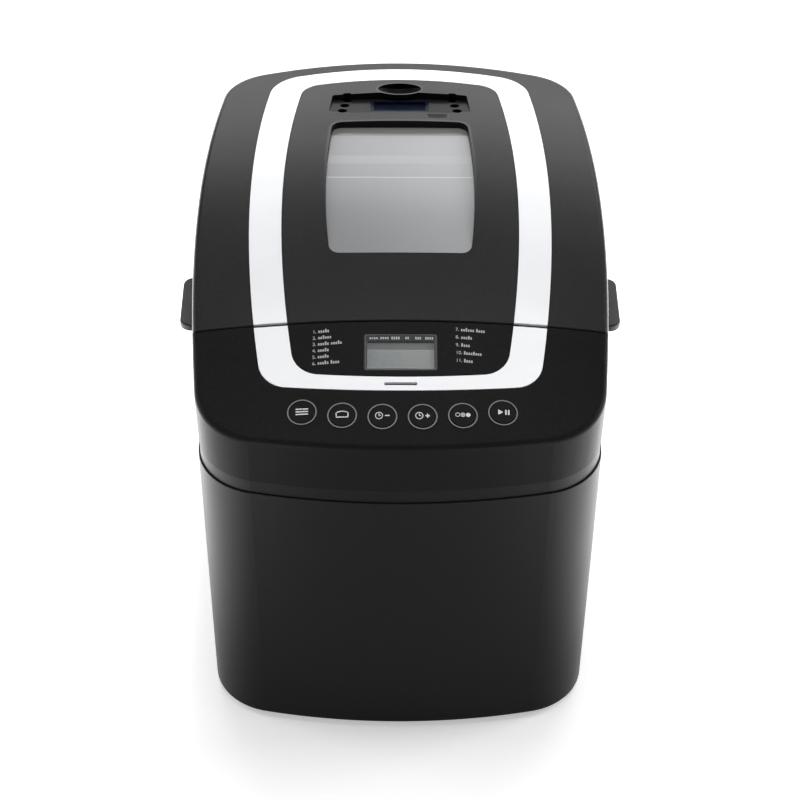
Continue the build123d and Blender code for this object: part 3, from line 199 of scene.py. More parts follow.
def build_grain_group():
    """Fine spark-eroded grain: a height for the bump and a spread for the roughness."""
    group, inlet, outlet = new_group(
        "moulded_grain",
        [("Scale", 2600.0), ("Roughness", 0.45), ("Spread", 0.08)],
        [("Height", "NodeSocketFloat"), ("Roughness", "NodeSocketFloat")],
    )
    place = group.nodes.new("ShaderNodeTexCoord").outputs["Object"]
    fine = noise(group, place, inlet.outputs["Scale"], 1.0)
    broad = noise(group, place, 24.0, 2.0)
    group.links.new(fine, outlet.inputs["Height"])
    centred = math_node(group, "SUBTRACT", broad, 0.5)
    swing = math_node(group, "MULTIPLY", centred, inlet.outputs["Spread"])
    total = math_node(group, "ADD", inlet.outputs["Roughness"], swing)
    group.links.new(total, outlet.inputs["Roughness"])
    return group


moulded_grain = build_grain_group()
print("group", moulded_grain.name, "ready")

# %% [markdown]
# Dust needs to know which way a face looks. The true normal's Z value is one on a level
# face and zero on a wall, and a noise breaks it into specks. The group gives only a mask;
# each material decides how much of a pale colour the mask mixes in.

# %% Group: settled dust
def build_dust_group():
    """A mask that is strongest on faces that look up, broken into specks."""
    group, inlet, outlet = new_group(
        "settled_dust", [("Amount", 0.05)], [("Mask", "NodeSocketFloat")]
    )
    place = group.nodes.new("ShaderNodeTexCoord").outputs["Object"]
    normal = group.nodes.new("ShaderNodeNewGeometry").outputs["Normal"]
    split = group.nodes.new("ShaderNodeSeparateXYZ")
    group.links.new(normal, split.inputs[0])
    upward = math_node(group, "MAXIMUM", split.outputs["Z"], 0.0)
    specks = noise(group, place, 420.0, 4.0)
    clouds = noise(group, place, 11.0, 2.0)
    pattern = math_node(group, "MULTIPLY", specks, clouds)
    mask = math_node(group, "MULTIPLY", upward, pattern)
    scaled = math_node(group, "MULTIPLY", mask, inlet.outputs["Amount"])
    group.links.new(scaled, outlet.inputs["Mask"])
    return group


settled_dust = build_dust_group()

# %% [markdown]
# ## A moulded plastic
# The recipe is a Principled shader whose roughness and normal come from the grain group,
# and whose colour is the pigment with a little dust mixed in. Numbers that are the same
# everywhere, such as the specular level, are set on the shader's own sockets.

# %% Recipe: moulded plastic
DUST = (0.30, 0.29, 0.27, 1)


def use_group(tree, group, **values):
    """Place a group in a material and set its inputs."""
    node = tree.nodes.new("ShaderNodeGroup")
    node.node_tree = group
    for label, value in values.items():
        node.inputs[label].default_value = value
    return node


def colour_mix(tree, factor, first, second):
    """Mix two colours; each is a tuple or a socket, and so is the factor."""
    node = tree.nodes.new("ShaderNodeMix")
    node.data_type = "RGBA"
    for socket, value in zip((node.inputs[0], node.inputs[6], node.inputs[7]), (factor, first, second)):
        if isinstance(value, bpy.types.NodeSocket):
            tree.links.new(value, socket)
        else:
            socket.default_value = value
    return node.outputs[2]


def plain_material(name):
    """A new material; returns it with its node tree and its Principled shader."""
    material = bpy.data.materials.new(name)
    material.use_nodes = True
    return material, material.node_tree, material.node_tree.nodes["Principled BSDF"]


def moulded_plastic(name, pigment, roughness, specular, grain=2600.0, depth=0.02, dust=0.05,
                    spread=0.08, coat=0.0):
    """Moulded plastic with a fine grain, cloudy pigment and a little dust."""
    material, tree, shader = plain_material(name)
    grained = use_group(tree, moulded_grain, Scale=grain, Roughness=roughness, Spread=spread)
    dusty = use_group(tree, settled_dust, Amount=dust)
    place = tree.nodes.new("ShaderNodeTexCoord").outputs["Object"]
    cloud = noise(tree, place, 16.0, 3.0)
    lighter = tuple(min(1.0, c * 1.18) for c in pigment)
    tone = colour_mix(tree, cloud, (*pigment, 1), (*lighter, 1))
    tree.links.new(colour_mix(tree, dusty.outputs["Mask"], tone, DUST), shader.inputs["Base Color"])
    tree.links.new(grained.outputs["Roughness"], shader.inputs["Roughness"])
    bump = tree.nodes.new("ShaderNodeBump")
    bump.inputs["Strength"].default_value = depth
    bump.inputs["Distance"].default_value = 0.0004
    tree.links.new(grained.outputs["Height"], bump.inputs["Height"])
    tree.links.new(bump.outputs["Normal"], shader.inputs["Normal"])
    shader.inputs["Specular IOR Level"].default_value = specular
    shader.inputs["Coat Weight"].default_value = coat
    shader.inputs["Coat Roughness"].default_value = 0.08
    return material


def dress(material, *names):
    """Give CAD pieces a finish through their own material slots."""
    for name in names:
        for slot in nodes[name].material_slots:
            slot.material = material


housing_black = moulded_plastic("housing_black", (0.0085, 0.0086, 0.009), 0.36, 0.13, depth=0.05)
panel_black = moulded_plastic("panel_black", (0.0048, 0.0048, 0.005), 0.34, 0.04, depth=0.05)
body_black = moulded_plastic("body_black", (0.0035, 0.0035, 0.0037), 0.36, 0.08, depth=0.05)
trim_black = moulded_plastic("trim_black", (0.0028, 0.0028, 0.003), 0.32, 0.22, depth=0.02)
grip_black = moulded_plastic("grip_black", (0.011, 0.011, 0.0115), 0.5, 0.22, depth=0.08)
dress(housing_black, "lid_shell", "vent_tray")
dress(panel_black, "upper_housing")
dress(body_black, "body_shell", "parting_ring")
dress(trim_black, "window_bezel", "finger_dish", "base_tray", "cord_gland")
dress(grip_black, "lid_grip_left", "lid_grip_right")

# %% [markdown]
# ## The bright band
# The band is lacquered a cold pearl white. Its grain is much finer and shallower than the
# black plastic's, and a clear coat gives it the slight depth of lacquer.

# %% Recipe: pearl lacquer
pearl_white = moulded_plastic(
    "pearl_white", (0.80, 0.81, 0.83), 0.30, 0.5, grain=4200.0, depth=0.012, dust=0.02,
    spread=0.05, coat=0.35,
)
dress(pearl_white, "lid_band", "panel_band")

# %% [markdown]
# ## Metals
# Sheet steel, pressed aluminium and turned parts differ in how the tool marked them. Rolled
# sheet shows long faint streaks, made here by a noise that is squeezed along one axis, and
# cast parts show a cloudy grain. Both come from one group that is placed with its own
# stretch in each metal.

# %% Group and recipe: worked metal
def build_streak_group():
    """Rolling or turning marks: noise squeezed along X, Y or Z."""
    group, inlet, outlet = new_group(
        "tool_streaks",
        [("Along X", 1.0), ("Along Y", 0.05), ("Along Z", 1.0), ("Scale", 900.0)],
        [("Mask", "NodeSocketFloat")],
    )
    place = group.nodes.new("ShaderNodeTexCoord").outputs["Object"]
    split = group.nodes.new("ShaderNodeSeparateXYZ")
    group.links.new(place, split.inputs[0])
    joined = group.nodes.new("ShaderNodeCombineXYZ")
    for axis in "XYZ":
        squeezed = math_node(group, "MULTIPLY", split.outputs[axis], inlet.outputs["Along " + axis])
        group.links.new(squeezed, joined.inputs[axis])
    group.links.new(noise(group, joined.outputs[0], inlet.outputs["Scale"], 3.0), outlet.inputs["Mask"])
    return group


tool_streaks = build_streak_group()


def worked_metal(name, colour, roughness, stretch=(1.0, 0.05, 1.0), scale=900.0, tint=0.8, metallic=1.0):
    """A metal whose tool marks change its colour and its roughness a little."""
    material, tree, shader = plain_material(name)
    streaks = use_group(tree, tool_streaks, Scale=scale)
    for label, value in zip(("Along X", "Along Y", "Along Z"), stretch):
        streaks.inputs[label].default_value = value
    darker = tuple(c * tint for c in colour)
    tone = colour_mix(tree, streaks.outputs["Mask"], (*darker, 1), (*colour, 1))
    tree.links.new(tone, shader.inputs["Base Color"])
    swing = math_node(tree, "MULTIPLY", streaks.outputs["Mask"], 0.22)
    tree.links.new(math_node(tree, "ADD", swing, roughness - 0.11), shader.inputs["Roughness"])
    shader.inputs["Metallic"].default_value = metallic
    return material


sheet_steel = worked_metal("sheet_steel", (0.55, 0.56, 0.57), 0.36)
bright_steel = worked_metal("bright_steel", (0.70, 0.70, 0.71), 0.22, (1, 1, 0.04), 1500.0)
pressed_aluminium = worked_metal("pressed_aluminium", (0.74, 0.74, 0.75), 0.34, (0.05, 1, 1))
cast_alloy = worked_metal("cast_alloy", (0.56, 0.56, 0.57), 0.5, (1, 1, 1), 260.0)
bush_bronze = worked_metal("bush_bronze", (0.60, 0.40, 0.20), 0.38, (1, 1, 1), 1800.0)
heat_tinted = worked_metal("heat_tinted_steel", (0.20, 0.18, 0.165), 0.42, (1, 1, 1), 120.0, 0.55)
zinc_plated = worked_metal("zinc_plated", (0.62, 0.63, 0.60), 0.3, (1, 1, 1), 700.0)
dress(sheet_steel, "heat_shield", "element_clamps", "chassis")
dress(bright_steel, "hinge_pins", "pan_clips", "pan_seat_ring", "pan_bail", "pan_shaft",
      "drive_shaft", "motor_shaft", "motor_pulley", "temperature_sensor")
dress(pressed_aluminium, "lid_liner", "chamber_liner")
dress(cast_alloy, "bearing_housing", "pan_coupling", "drive_dog")
dress(bush_bronze, "shaft_bushes", "pan_bush")
dress(heat_tinted, "heating_element")
dress(zinc_plated, "lid_screws", "base_screws")

# %% [markdown]
# ## Non-stick coating, rubber and the small inner mouldings
# The pan and the paddle are aluminium under a dark coating with pale specks. Rubber is
# nearly matt. The inner mouldings are seen only when the machine is opened, so they get
# plain moulded plastic in their usual colours.

# %% Recipes: coating, rubber, inner mouldings
def nonstick(name):
    """Dark coating with fine pale specks and a slight orange-peel gloss."""
    material, tree, shader = plain_material(name)
    place = tree.nodes.new("ShaderNodeTexCoord").outputs["Object"]
    flecks = tree.nodes.new("ShaderNodeTexVoronoi")
    flecks.inputs["Scale"].default_value = 620.0
    tree.links.new(place, flecks.inputs["Vector"])
    spots = math_node(tree, "LESS_THAN", flecks.outputs["Distance"], 0.16)
    sparse = math_node(tree, "GREATER_THAN", noise(tree, place, 190.0, 1.0), 0.56)
    mask = math_node(tree, "MULTIPLY", spots, sparse)
    tone = colour_mix(tree, mask, (0.022, 0.022, 0.024, 1), (0.32, 0.32, 0.33, 1))
    tree.links.new(tone, shader.inputs["Base Color"])
    bump = tree.nodes.new("ShaderNodeBump")
    bump.inputs["Strength"].default_value = 0.08
    bump.inputs["Distance"].default_value = 0.0003
    tree.links.new(noise(tree, place, 520.0, 2.0), bump.inputs["Height"])
    tree.links.new(bump.outputs["Normal"], shader.inputs["Normal"])
    peel = math_node(tree, "MULTIPLY", noise(tree, place, 60.0, 2.0), 0.12)
    tree.links.new(math_node(tree, "ADD", peel, 0.24), shader.inputs["Roughness"])
    return material


dress(nonstick("nonstick_coating"), "pan", "kneading_paddle")
foot_rubber = moulded_plastic("foot_rubber", (0.010, 0.010, 0.010), 0.78, 0.25, 1400.0, 0.15)
belt_rubber = moulded_plastic("belt_rubber", (0.012, 0.012, 0.012), 0.7, 0.3, 1600.0, 0.15)
grey_silicone = moulded_plastic("grey_silicone", (0.30, 0.30, 0.31), 0.55, 0.35, 1200.0, 0.05)
white_moulding = moulded_plastic("white_moulding", (0.66, 0.65, 0.62), 0.45, 0.4, 1500.0, 0.04)
board_green = moulded_plastic("board_green", (0.012, 0.085, 0.035), 0.34, 0.5, 300.0, 0.03)
motor_grey = moulded_plastic("motor_grey", (0.11, 0.11, 0.115), 0.42, 0.5, 900.0, 0.06)
dress(foot_rubber, "rubber_feet")
dress(belt_rubber, "drive_belt")
dress(grey_silicone, "lid_gasket", "pan_seal")
dress(white_moulding, "large_pulley", "motor_fan", "thermal_fuse", "motor_capacitor")
dress(board_green, "control_board", "power_board")
dress(motor_grey, "motor_body")

# %% [markdown]
# ## Glass and the display
# The lid has two panes. The outer one is lightly smoked and silvery, so it shows little of
# the chamber. Its colour carries painted reflections: it is painted lighter towards the back
# and the right, and a soft light bar and a thin bright line near the back are painted
# reflections too. The display's lens is clear only over the view and printed black on its
# back all round it. Both patterns are masks in the object's own millimetres, so they keep
# their place from every side. The pane's coverage is done with Alpha, which stays clean
# where true refraction between close sheets gets grainy.

# %% Masks along an axis
def axis_of(tree):
    """X, Y and Z of the point, as three sockets."""
    split = tree.nodes.new("ShaderNodeSeparateXYZ")
    tree.links.new(tree.nodes.new("ShaderNodeTexCoord").outputs["Object"], split.inputs[0])
    return split.outputs


def soft_step(tree, value, start, end):
    """0 before start, 1 after end."""
    node = tree.nodes.new("ShaderNodeMapRange")
    node.interpolation_type = "SMOOTHSTEP"
    node.inputs["From Min"].default_value = start
    node.inputs["From Max"].default_value = end
    tree.links.new(value, node.inputs["Value"])
    return node.outputs[0]


def between(tree, value, low, high, blur):
    """1 between low and high, with soft edges."""
    rise = soft_step(tree, value, low - blur / 2, low + blur / 2)
    fall = soft_step(tree, value, high + blur / 2, high - blur / 2)
    return math_node(tree, "MINIMUM", rise, fall)


# %% Window panes
glass_low, glass_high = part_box("window_glass")


def smoked_pane(name):
    """Smoked glass with painted reflections: lighter to the back and right, a bar and a line near the back.
    """
    material, tree, shader = plain_material(name)
    x, y, z = axis_of(tree)
    depth = soft_step(tree, y, glass_low[1], glass_high[1])
    side = soft_step(tree, x, glass_low[0], glass_high[0])
    # Painted reflection: the pane's colour is painted lighter towards the back and the right.
    light = math_node(tree, "ADD", math_node(tree, "MULTIPLY", depth, 0.55),
                      math_node(tree, "MULTIPLY", side, 0.45))
    tone = colour_mix(tree, light, (0.25, 0.255, 0.262, 1), (0.44, 0.45, 0.46, 1))
    # Painted reflection: a soft light bar across the pane near the back.
    painted_reflection_bar = between(tree, y, glass_high[1] - 37 * MM, glass_high[1] - 29 * MM, 2 * MM)
    tone = colour_mix(tree, math_node(tree, "MULTIPLY", painted_reflection_bar, 0.3), tone, (0.5, 0.51, 0.52, 1))
    # Painted reflection: a thin bright line across the pane near the back.
    painted_reflection_line = between(tree, y, glass_high[1] - 51.6 * MM, glass_high[1] - 50.6 * MM, 0.8 * MM)
    tone = colour_mix(tree, math_node(tree, "MULTIPLY", painted_reflection_line, 0.45), tone, (0.72, 0.73, 0.74, 1))
    olive = soft_step(tree, y, glass_high[1] - 9 * MM, glass_high[1] - 7.5 * MM)
    tone = colour_mix(tree, math_node(tree, "MULTIPLY", olive, 0.8), tone, (0.17, 0.17, 0.145, 1))
    tree.links.new(tone, shader.inputs["Base Color"])
    tree.links.new(math_node(tree, "ADD", math_node(tree, "MULTIPLY", olive, 0.05), 0.93),
                   shader.inputs["Alpha"])
    haze = math_node(tree, "MULTIPLY", noise(tree, tree.nodes["Texture Coordinate"].outputs["Object"],
                                             14.0, 3.0), 0.05)
    tree.links.new(math_node(tree, "ADD", haze, 0.06), shader.inputs["Roughness"])
    shader.inputs["Specular IOR Level"].default_value = 0.18
    return material


def clear_pane(name):
    """Clear inner glass with a faint greasy haze."""
    material, tree, shader = plain_material(name)
    shader.inputs["Base Color"].default_value = (0.9, 0.92, 0.92, 1)
    shader.inputs["Transmission Weight"].default_value = 0.95
    shader.inputs["IOR"].default_value = 1.5
    place = tree.nodes.new("ShaderNodeTexCoord").outputs["Object"]
    film = math_node(tree, "MULTIPLY", noise(tree, place, 14.0, 3.0), 0.02)
    tree.links.new(math_node(tree, "ADD", film, 0.01), shader.inputs["Roughness"])
    return material


dress(smoked_pane("smoked_glass"), "window_glass")
dress(clear_pane("clear_glass"), "inner_glass")

# %% Display lens and display
lens_low, lens_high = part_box("display_lens")
VIEW_SIZE = (40.4 * MM, 20.4 * MM)
view_middle = ((lens_low[0] + lens_high[0]) / 2, (lens_low[1] + lens_high[1]) / 2 - 2.4 * MM)
view_top = view_middle[1] + VIEW_SIZE[1] / 2


def in_view(tree, margin=0.0):
    """1 over the display's view."""
    x, y, z = axis_of(tree)
    reach = (VIEW_SIZE[0] / 2 - margin, VIEW_SIZE[1] / 2 - margin)
    across = between(tree, x, view_middle[0] - reach[0], view_middle[0] + reach[0], 0.15 * MM)
    along = between(tree, y, view_middle[1] - reach[1], view_middle[1] + reach[1], 0.15 * MM)
    return math_node(tree, "MULTIPLY", across, along)


def printed_lens(name):
    """Clear lens, printed black all round the view."""
    material, tree, shader = plain_material(name)
    view = in_view(tree)
    tree.links.new(colour_mix(tree, view, (0.004, 0.004, 0.0045, 1), (0.5, 0.52, 0.52, 1)),
                   shader.inputs["Base Color"])
    tree.links.new(math_node(tree, "SUBTRACT", 1.0, math_node(tree, "MULTIPLY", view, 0.94)),
                   shader.inputs["Alpha"])
    place = tree.nodes["Texture Coordinate"].outputs["Object"]
    film = math_node(tree, "MULTIPLY", noise(tree, place, 40.0, 2.0), 0.06)
    tree.links.new(math_node(tree, "ADD", film, 0.10), shader.inputs["Roughness"])
    shader.inputs["Specular IOR Level"].default_value = 0.2
    return material


def display_face(name):
    """Grey-green display with faint cells; a painted shadow of the lens border darkens a strip at its top.
    """
    material, tree, shader = plain_material(name)
    x, y, z = axis_of(tree)
    tone = colour_mix(tree, soft_step(tree, x, view_middle[0] - 20 * MM, view_middle[0] + 20 * MM),
                      (0.50, 0.53, 0.53, 1), (0.62, 0.64, 0.64, 1))
    # Painted shadow: the lens border's shadow is painted as a dark strip along the top of the view.
    painted_shadow_strip = soft_step(tree, y, view_top - 4.9 * MM, view_top - 4.4 * MM)
    tone = colour_mix(tree, math_node(tree, "MULTIPLY", painted_shadow_strip, 0.75), tone, (0.12, 0.125, 0.13, 1))
    cells = tree.nodes.new("ShaderNodeTexChecker")
    cells.inputs["Scale"].default_value = 1600.0
    tree.links.new(tree.nodes["Texture Coordinate"].outputs["Object"], cells.inputs["Vector"])
    tone = colour_mix(tree, math_node(tree, "MULTIPLY", cells.outputs["Fac"], 0.06), tone,
                      (0.30, 0.32, 0.32, 1))
    tree.links.new(tone, shader.inputs["Base Color"])
    shader.inputs["Roughness"].default_value = 0.35
    shader.inputs["Specular IOR Level"].default_value = 0.3
    return material


dress(printed_lens("printed_lens"), "display_lens")
dress(display_face("display_grey"), "display_module")

# %% [markdown]
# ## The vent insert and the buttons
# A polished dark blue moulding sits in the middle of the steam vent. The caps are a glossy
# black, and each sits in a thin ring with a dark chrome finish, which catches the light on
# the side that faces it.

# %% Vent insert, caps and rings
vent_blue = moulded_plastic("vent_blue", (0.004, 0.007, 0.020), 0.14, 0.4, 2000.0, 0.004, 0.03)
dress(vent_blue, "vent_insert")
button_black = moulded_plastic("button_black", (0.0035, 0.0035, 0.0037), 0.26, 0.05, 3200.0, 0.01, 0.02)
BUTTONS = ("button_menu", "button_loaf", "button_time_down", "button_time_up", "button_crust",
           "button_start")
dress(button_black, *BUTTONS)
dress(worked_metal("dark_chrome", (0.085, 0.085, 0.09), 0.26, (1, 1, 1), 1500.0), "button_rings")
print("materials made:", len(bpy.data.materials))


# %% [markdown]
# ## Marks printed on the panel
# The programme list, the legend over the display and the symbols on the buttons are pad
# printed: a film of white ink a few hundredths of a millimetre thick. Text and flat shapes
# are easy to draw in plan, so every mark starts flat above the machine, is projected
# straight down onto its surface by a Shrinkwrap modifier, and gets its thin body from a
# Solidify. A mark on a button rides on that button's body, so it sinks with it.

# %% Recipe and helpers for printed marks
def ink(name, colour, roughness=0.5):
    """Printing ink: nearly even, with a trace of uneven cover."""
    material, tree, shader = plain_material(name)
    place = tree.nodes.new("ShaderNodeTexCoord").outputs["Object"]
    cover = noise(tree, place, 900.0, 2.0)
    thin = tuple(c * 0.8 for c in colour)
    tree.links.new(colour_mix(tree, cover, (*thin, 1), (*colour, 1)), shader.inputs["Base Color"])
    shader.inputs["Roughness"].default_value = roughness
    return material


white_ink = ink("white_ink", (0.72, 0.73, 0.74))
grey_ink = ink("grey_ink", (0.42, 0.43, 0.44))
HOVER = 0.34  # marks are drawn at this height, above the top of the lid


def settle(piece):
    """Make a piece's own mesh hold its place, with the object back at the origin."""
    bpy.ops.object.select_all(action="DESELECT")
    piece.select_set(True)
    bpy.context.view_layer.objects.active = piece
    bpy.ops.object.transform_apply(location=True, rotation=True, scale=True)


def join_all(pieces, name):
    """Join pieces into one object with the given name."""
    bpy.ops.object.select_all(action="DESELECT")
    for piece in pieces:
        piece.select_set(True)
    bpy.context.view_layer.objects.active = pieces[0]
    bpy.ops.object.join()
    joined = bpy.context.object
    joined.name = name
    return joined


def apply_modifiers(piece):
    """Apply every modifier in order."""
    bpy.ops.object.select_all(action="DESELECT")
    piece.select_set(True)
    bpy.context.view_layer.objects.active = piece
    for modifier in list(piece.modifiers):
        bpy.ops.object.modifier_apply(modifier=modifier.name)


def bar(x, y, length, height, turn=0.0, round_share=0.45):
    """A flat bar with round ends, in plan above the machine."""
    bpy.ops.object.select_all(action="DESELECT")
    bpy.ops.mesh.primitive_plane_add(size=1.0, location=(0, 0, 0))
    piece = bpy.context.object
    piece.scale = (length, height, 1)
    settle(piece)
    bpy.ops.object.mode_set(mode="EDIT")
    bpy.ops.mesh.select_all(action="SELECT")
    bpy.ops.mesh.bevel(
        offset=min(length, height) * round_share, segments=3, affect="VERTICES"
    )
    bpy.ops.object.mode_set(mode="OBJECT")
    piece.rotation_euler = (0, 0, turn)
    piece.location = (x, y, HOVER)
    settle(piece)
    return piece


def disc(x, y, radius, sides=24):
    """A flat disc in plan above the machine."""
    bpy.ops.object.select_all(action="DESELECT")
    bpy.ops.mesh.primitive_circle_add(
        radius=radius, vertices=sides, fill_type="NGON", location=(x, y, HOVER)
    )
    piece = bpy.context.object
    settle(piece)
    return piece


def lettered(text, x, y, height):
    """A number or sign as a flat mesh, its left foot at x, y."""
    bpy.ops.object.select_all(action="DESELECT")
    bpy.ops.object.text_add(location=(0, 0, 0))
    piece = bpy.context.object
    piece.data.body = text
    piece.data.size = height * 1.4
    piece.data.resolution_u = 3
    bpy.ops.object.convert(target="MESH")
    piece = bpy.context.object
    piece.location = (x, y, HOVER)
    settle(piece)
    return piece


def refine(piece, longest):
    """Cut a flat mark finely enough to follow the crowned surface."""
    bpy.ops.object.select_all(action="DESELECT")
    piece.select_set(True)
    bpy.context.view_layer.objects.active = piece
    bpy.ops.object.mode_set(mode="EDIT")
    bpy.ops.mesh.select_all(action="SELECT")
    bpy.ops.mesh.quads_convert_to_tris()
    mesh = bmesh.from_edit_mesh(piece.data)
    long_edges = [edge for edge in mesh.edges if edge.calc_length() > longest]
    if long_edges:
        bmesh.ops.subdivide_edges(mesh, edges=long_edges, cuts=2, use_grid_fill=True)
    bmesh.update_edit_mesh(piece.data)
    bpy.ops.object.mode_set(mode="OBJECT")


def print_on(marks, name, surface, body, material=None, film=0.06 * MM):
    """Project flat marks down onto a CAD piece and give them an ink film's thickness."""
    piece = join_all(marks, name)
    refine(piece, 6 * MM)
    wrap = piece.modifiers.new("wrap", "SHRINKWRAP")
    wrap.target = nodes[surface]
    wrap.wrap_method = "PROJECT"
    wrap.use_project_z = True
    wrap.use_negative_direction = True
    wrap.use_positive_direction = False
    wrap.offset = 0.03 * MM
    film_body = piece.modifiers.new("film", "SOLIDIFY")
    film_body.thickness = film
    film_body.offset = 0.0
    apply_modifiers(piece)
    low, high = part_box(surface)
    heights = [vertex.co.z for vertex in piece.data.vertices]
    print(name, "from", round(min(heights), 4), "to", round(max(heights), 4))
    if max(heights) > high[2] + 1 * MM:
        raise SystemExit(name + " misses " + surface)
    piece.data.materials.clear()
    piece.data.materials.append(material or white_ink)
    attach(piece, body)
    return piece


def middle_of(node):
    """Middle of a CAD piece's box."""
    low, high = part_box(node)
    return Vector([(a + b) / 2 for a, b in zip(low, high)])


# %% [markdown]
# ### The programme list
# Eleven programmes stand in two columns beside the display, six on the left and five on the
# right. The numbers are real numbers. What the words would say is left out: each word is a
# short run of small blocks of uneven height, which reads as print from a distance and as
# nothing in particular from near. The rows tilt a little, because they follow the bow of
# the band.

# %% Programme list
LIST_STEP = 4.35 * MM
BLOCK = 0.95 * MM
BLOCK_GAP = 0.42 * MM


def blocks(x, y, count, low, turn):
    """A word of small upright blocks that starts at x, y and runs along the turn."""
    marks = []
    for index in range(count):
        tall = low * (1.5 if (index * 5 + count) % 4 == 0 else 1.0)
        along = index * (BLOCK + BLOCK_GAP) + BLOCK / 2
        marks.append(
            bar(
                x + along * math.cos(turn),
                y + along * math.sin(turn) + tall / 2,
                BLOCK,
                tall,
                turn,
                0.3,
            )
        )
    return marks


def programme_rows(first, words, x, y, turn, step):
    """Numbered rows that run down from y; every row is (count, count, ...) of its words."""
    marks = []
    for row, counts in enumerate(words):
        line_y = y - row * step
        marks.append(lettered(f"{first + row}", x, line_y, 2.3 * MM))
        marks.append(bar(x + (3.4 if first + row > 9 else 1.9) * MM, line_y + 0.25 * MM, 0.5 * MM, 0.5 * MM))
        start = x + (4.9 if first + row > 9 else 3.4) * MM
        for count in counts:
            marks += blocks(start, line_y + (start - x) * math.sin(turn), count, 1.6 * MM, turn)
            start += count * (BLOCK + BLOCK_GAP) + 0.9 * MM
    return marks


display = middle_of("display_lens")
left_rows = programme_rows(
    1, [(5,), (6,), (5, 5), (5,), (5,), (5, 4)], -53.0 * MM, display.y + 13.7 * MM,
    math.radians(3.0), LIST_STEP,
)
right_rows = programme_rows(
    7, [(6, 4), (5,), (4,), (8,), (4,)], 33.0 * MM, display.y + 14.9 * MM,
    math.radians(-2.5), LIST_STEP * 1.22,
)
print_on(left_rows + right_rows, "programme_list", "upper_housing", "housing", grey_ink)
print("programme rows:", 11)

# %% [markdown]
# ### Legend over the display
# The lens carries a black border with six small legends above the view: three for how dark
# the crust gets and three for the size of the loaf. Here they are striped swatches that get
# taller and rows of bars that get longer. A hairline frames the view.

# %% Legend and hairline on the lens
legend_y = lens_high[1] - 3.3 * MM
legend = []
for index in range(3):
    for step in range(4):
        legend.append(bar(display.x - (18.3 - 6.6 * index - 1.35 * step) * MM, legend_y,
                          0.9 * MM, (1.2 + 0.3 * index) * MM, 0.0, 0.2))
    for step in range(2 + index):
        legend.append(bar(display.x + (3.2 + 6.0 * index + 1.3 * step) * MM, legend_y,
                          0.85 * MM, 1.7 * MM, 0.0, 0.2))
print_on(legend, "display_legend", "display_lens", "housing", grey_ink)


def outline_marks(x_low, x_high, y_low, y_high, line):
    """Four thin bars round a rectangle."""
    middle_x, middle_y = (x_low + x_high) / 2, (y_low + y_high) / 2
    return [
        bar(middle_x, y_low, x_high - x_low, line),
        bar(middle_x, y_high, x_high - x_low, line),
        bar(x_low, middle_y, line, y_high - y_low),
        bar(x_high, middle_y, line, y_high - y_low),
    ]


faint_ink = ink("faint_ink", (0.10, 0.10, 0.105))
frame_marks = outline_marks(lens_low[0] + 0.9 * MM, lens_high[0] - 0.9 * MM,
                            lens_low[1] + 0.9 * MM, lens_high[1] - 0.9 * MM, 0.35 * MM)
print_on(frame_marks, "display_hairline", "display_lens", "housing", faint_ink)

# %% [markdown]
# ### Symbols on the buttons
# Each button shows what it does with a plain sign: three lines for the menu, a loaf for the
# loaf size, a minus and a plus beside a small clock for the time, three swatches for the
# crust, and a triangle with two bars for start and pause.

# %% Button symbols
def ring_marks(x, y, radius, line, sides=20):
    """A thin ring of short bars."""
    marks = []
    for index in range(sides):
        angle = 2 * math.pi * index / sides
        marks.append(
            bar(
                x + radius * math.cos(angle),
                y + radius * math.sin(angle),
                line,
                2 * math.pi * radius / sides * 1.15,
                angle,
                0.2,
            )
        )
    return marks


def clock_marks(x, y, radius):
    """A clock face with two hands."""
    return ring_marks(x, y, radius, 0.5 * MM) + [
        bar(x, y + radius * 0.28, 0.5 * MM, radius * 0.75),
        bar(x + radius * 0.22, y, radius * 0.6, 0.5 * MM),
    ]


def triangle(x, y, radius):
    """A flat triangle that points along X."""
    bpy.ops.object.select_all(action="DESELECT")
    bpy.ops.mesh.primitive_circle_add(
        radius=radius, vertices=3, fill_type="NGON", location=(x, y, HOVER),
        rotation=(0, 0, -math.pi / 2),
    )
    piece = bpy.context.object
    settle(piece)
    return piece


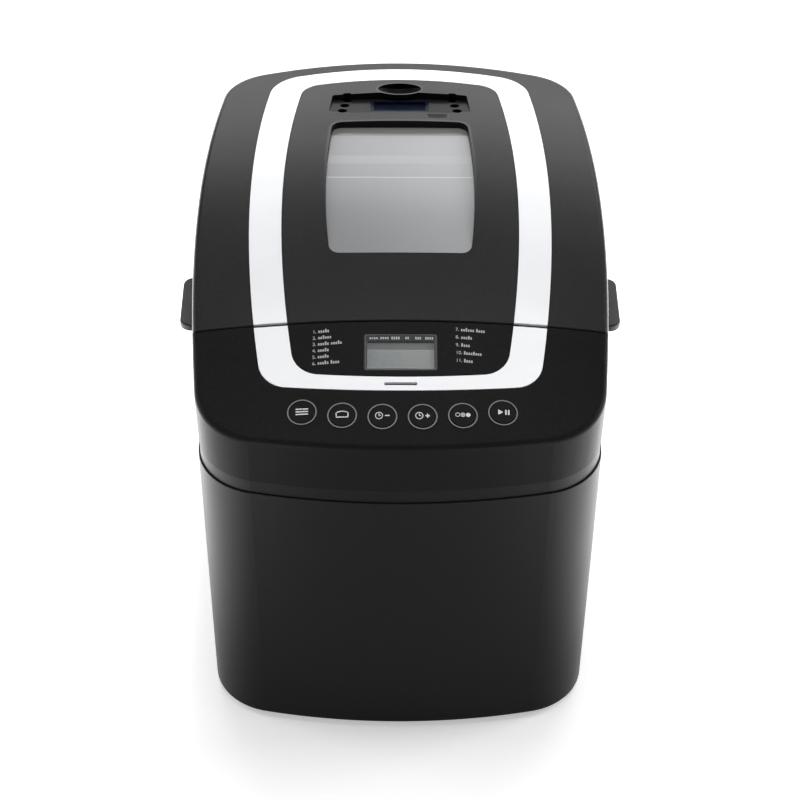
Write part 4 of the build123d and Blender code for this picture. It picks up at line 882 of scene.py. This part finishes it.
def loaf_marks(x, y):
    """A loaf in outline: a foot, two sides and a domed top."""
    marks = [
        bar(x, y - 1.7 * MM, 7.4 * MM, 0.6 * MM),
        bar(x - 3.4 * MM, y - 0.6 * MM, 0.6 * MM, 2.4 * MM),
        bar(x + 3.4 * MM, y - 0.6 * MM, 0.6 * MM, 2.4 * MM),
    ]
    for index in range(9):
        angle = math.pi * index / 8
        marks.append(
            bar(
                x + 3.6 * MM * math.cos(angle),
                y + 0.5 * MM + 1.6 * MM * math.sin(angle),
                0.6 * MM,
                1.5 * MM,
                math.atan2(1.6 * math.cos(angle), -3.6 * math.sin(angle)) - math.pi / 2,
            )
        )
    return marks


def menu_marks(x, y):
    """Three lines of a list."""
    return [bar(x, y + row * 1.7 * MM, 7.6 * MM, 0.75 * MM) for row in (-1, 0, 1)]


def time_down_marks(x, y):
    """A clock and a minus."""
    return clock_marks(x - 2.0 * MM, y, 2.1 * MM) + [bar(x + 2.9 * MM, y, 2.8 * MM, 0.75 * MM)]


def time_up_marks(x, y):
    """A clock and a plus."""
    return time_down_marks(x, y) + [bar(x + 2.9 * MM, y, 0.75 * MM, 2.8 * MM)]


def crust_marks(x, y):
    """Three swatches, from an empty one to a full one."""
    marks = [disc(x + 3.1 * MM, y, 1.35 * MM)] + ring_marks(x, y, 1.15 * MM, 0.45 * MM, 14)
    return marks + ring_marks(x - 3.1 * MM, y, 1.2 * MM, 0.3 * MM, 14) + [disc(x, y, 0.55 * MM)]


def start_marks(x, y):
    """A triangle and two bars."""
    return [
        triangle(x - 1.9 * MM, y, 2.0 * MM),
        bar(x + 1.7 * MM, y, 0.9 * MM, 3.4 * MM),
        bar(x + 3.4 * MM, y, 0.9 * MM, 3.4 * MM),
    ]


SYMBOLS = dict(zip(BUTTONS, (menu_marks, loaf_marks, time_down_marks, time_up_marks,
                             crust_marks, start_marks)))
for button, draw in SYMBOLS.items():
    centre = middle_of(button)
    cap_y = centre.y - 1.3 * MM
    print_on(draw(centre.x, cap_y), button.replace("button", "symbol"), button, button + "_cap")
print("symbols:", len(SYMBOLS))
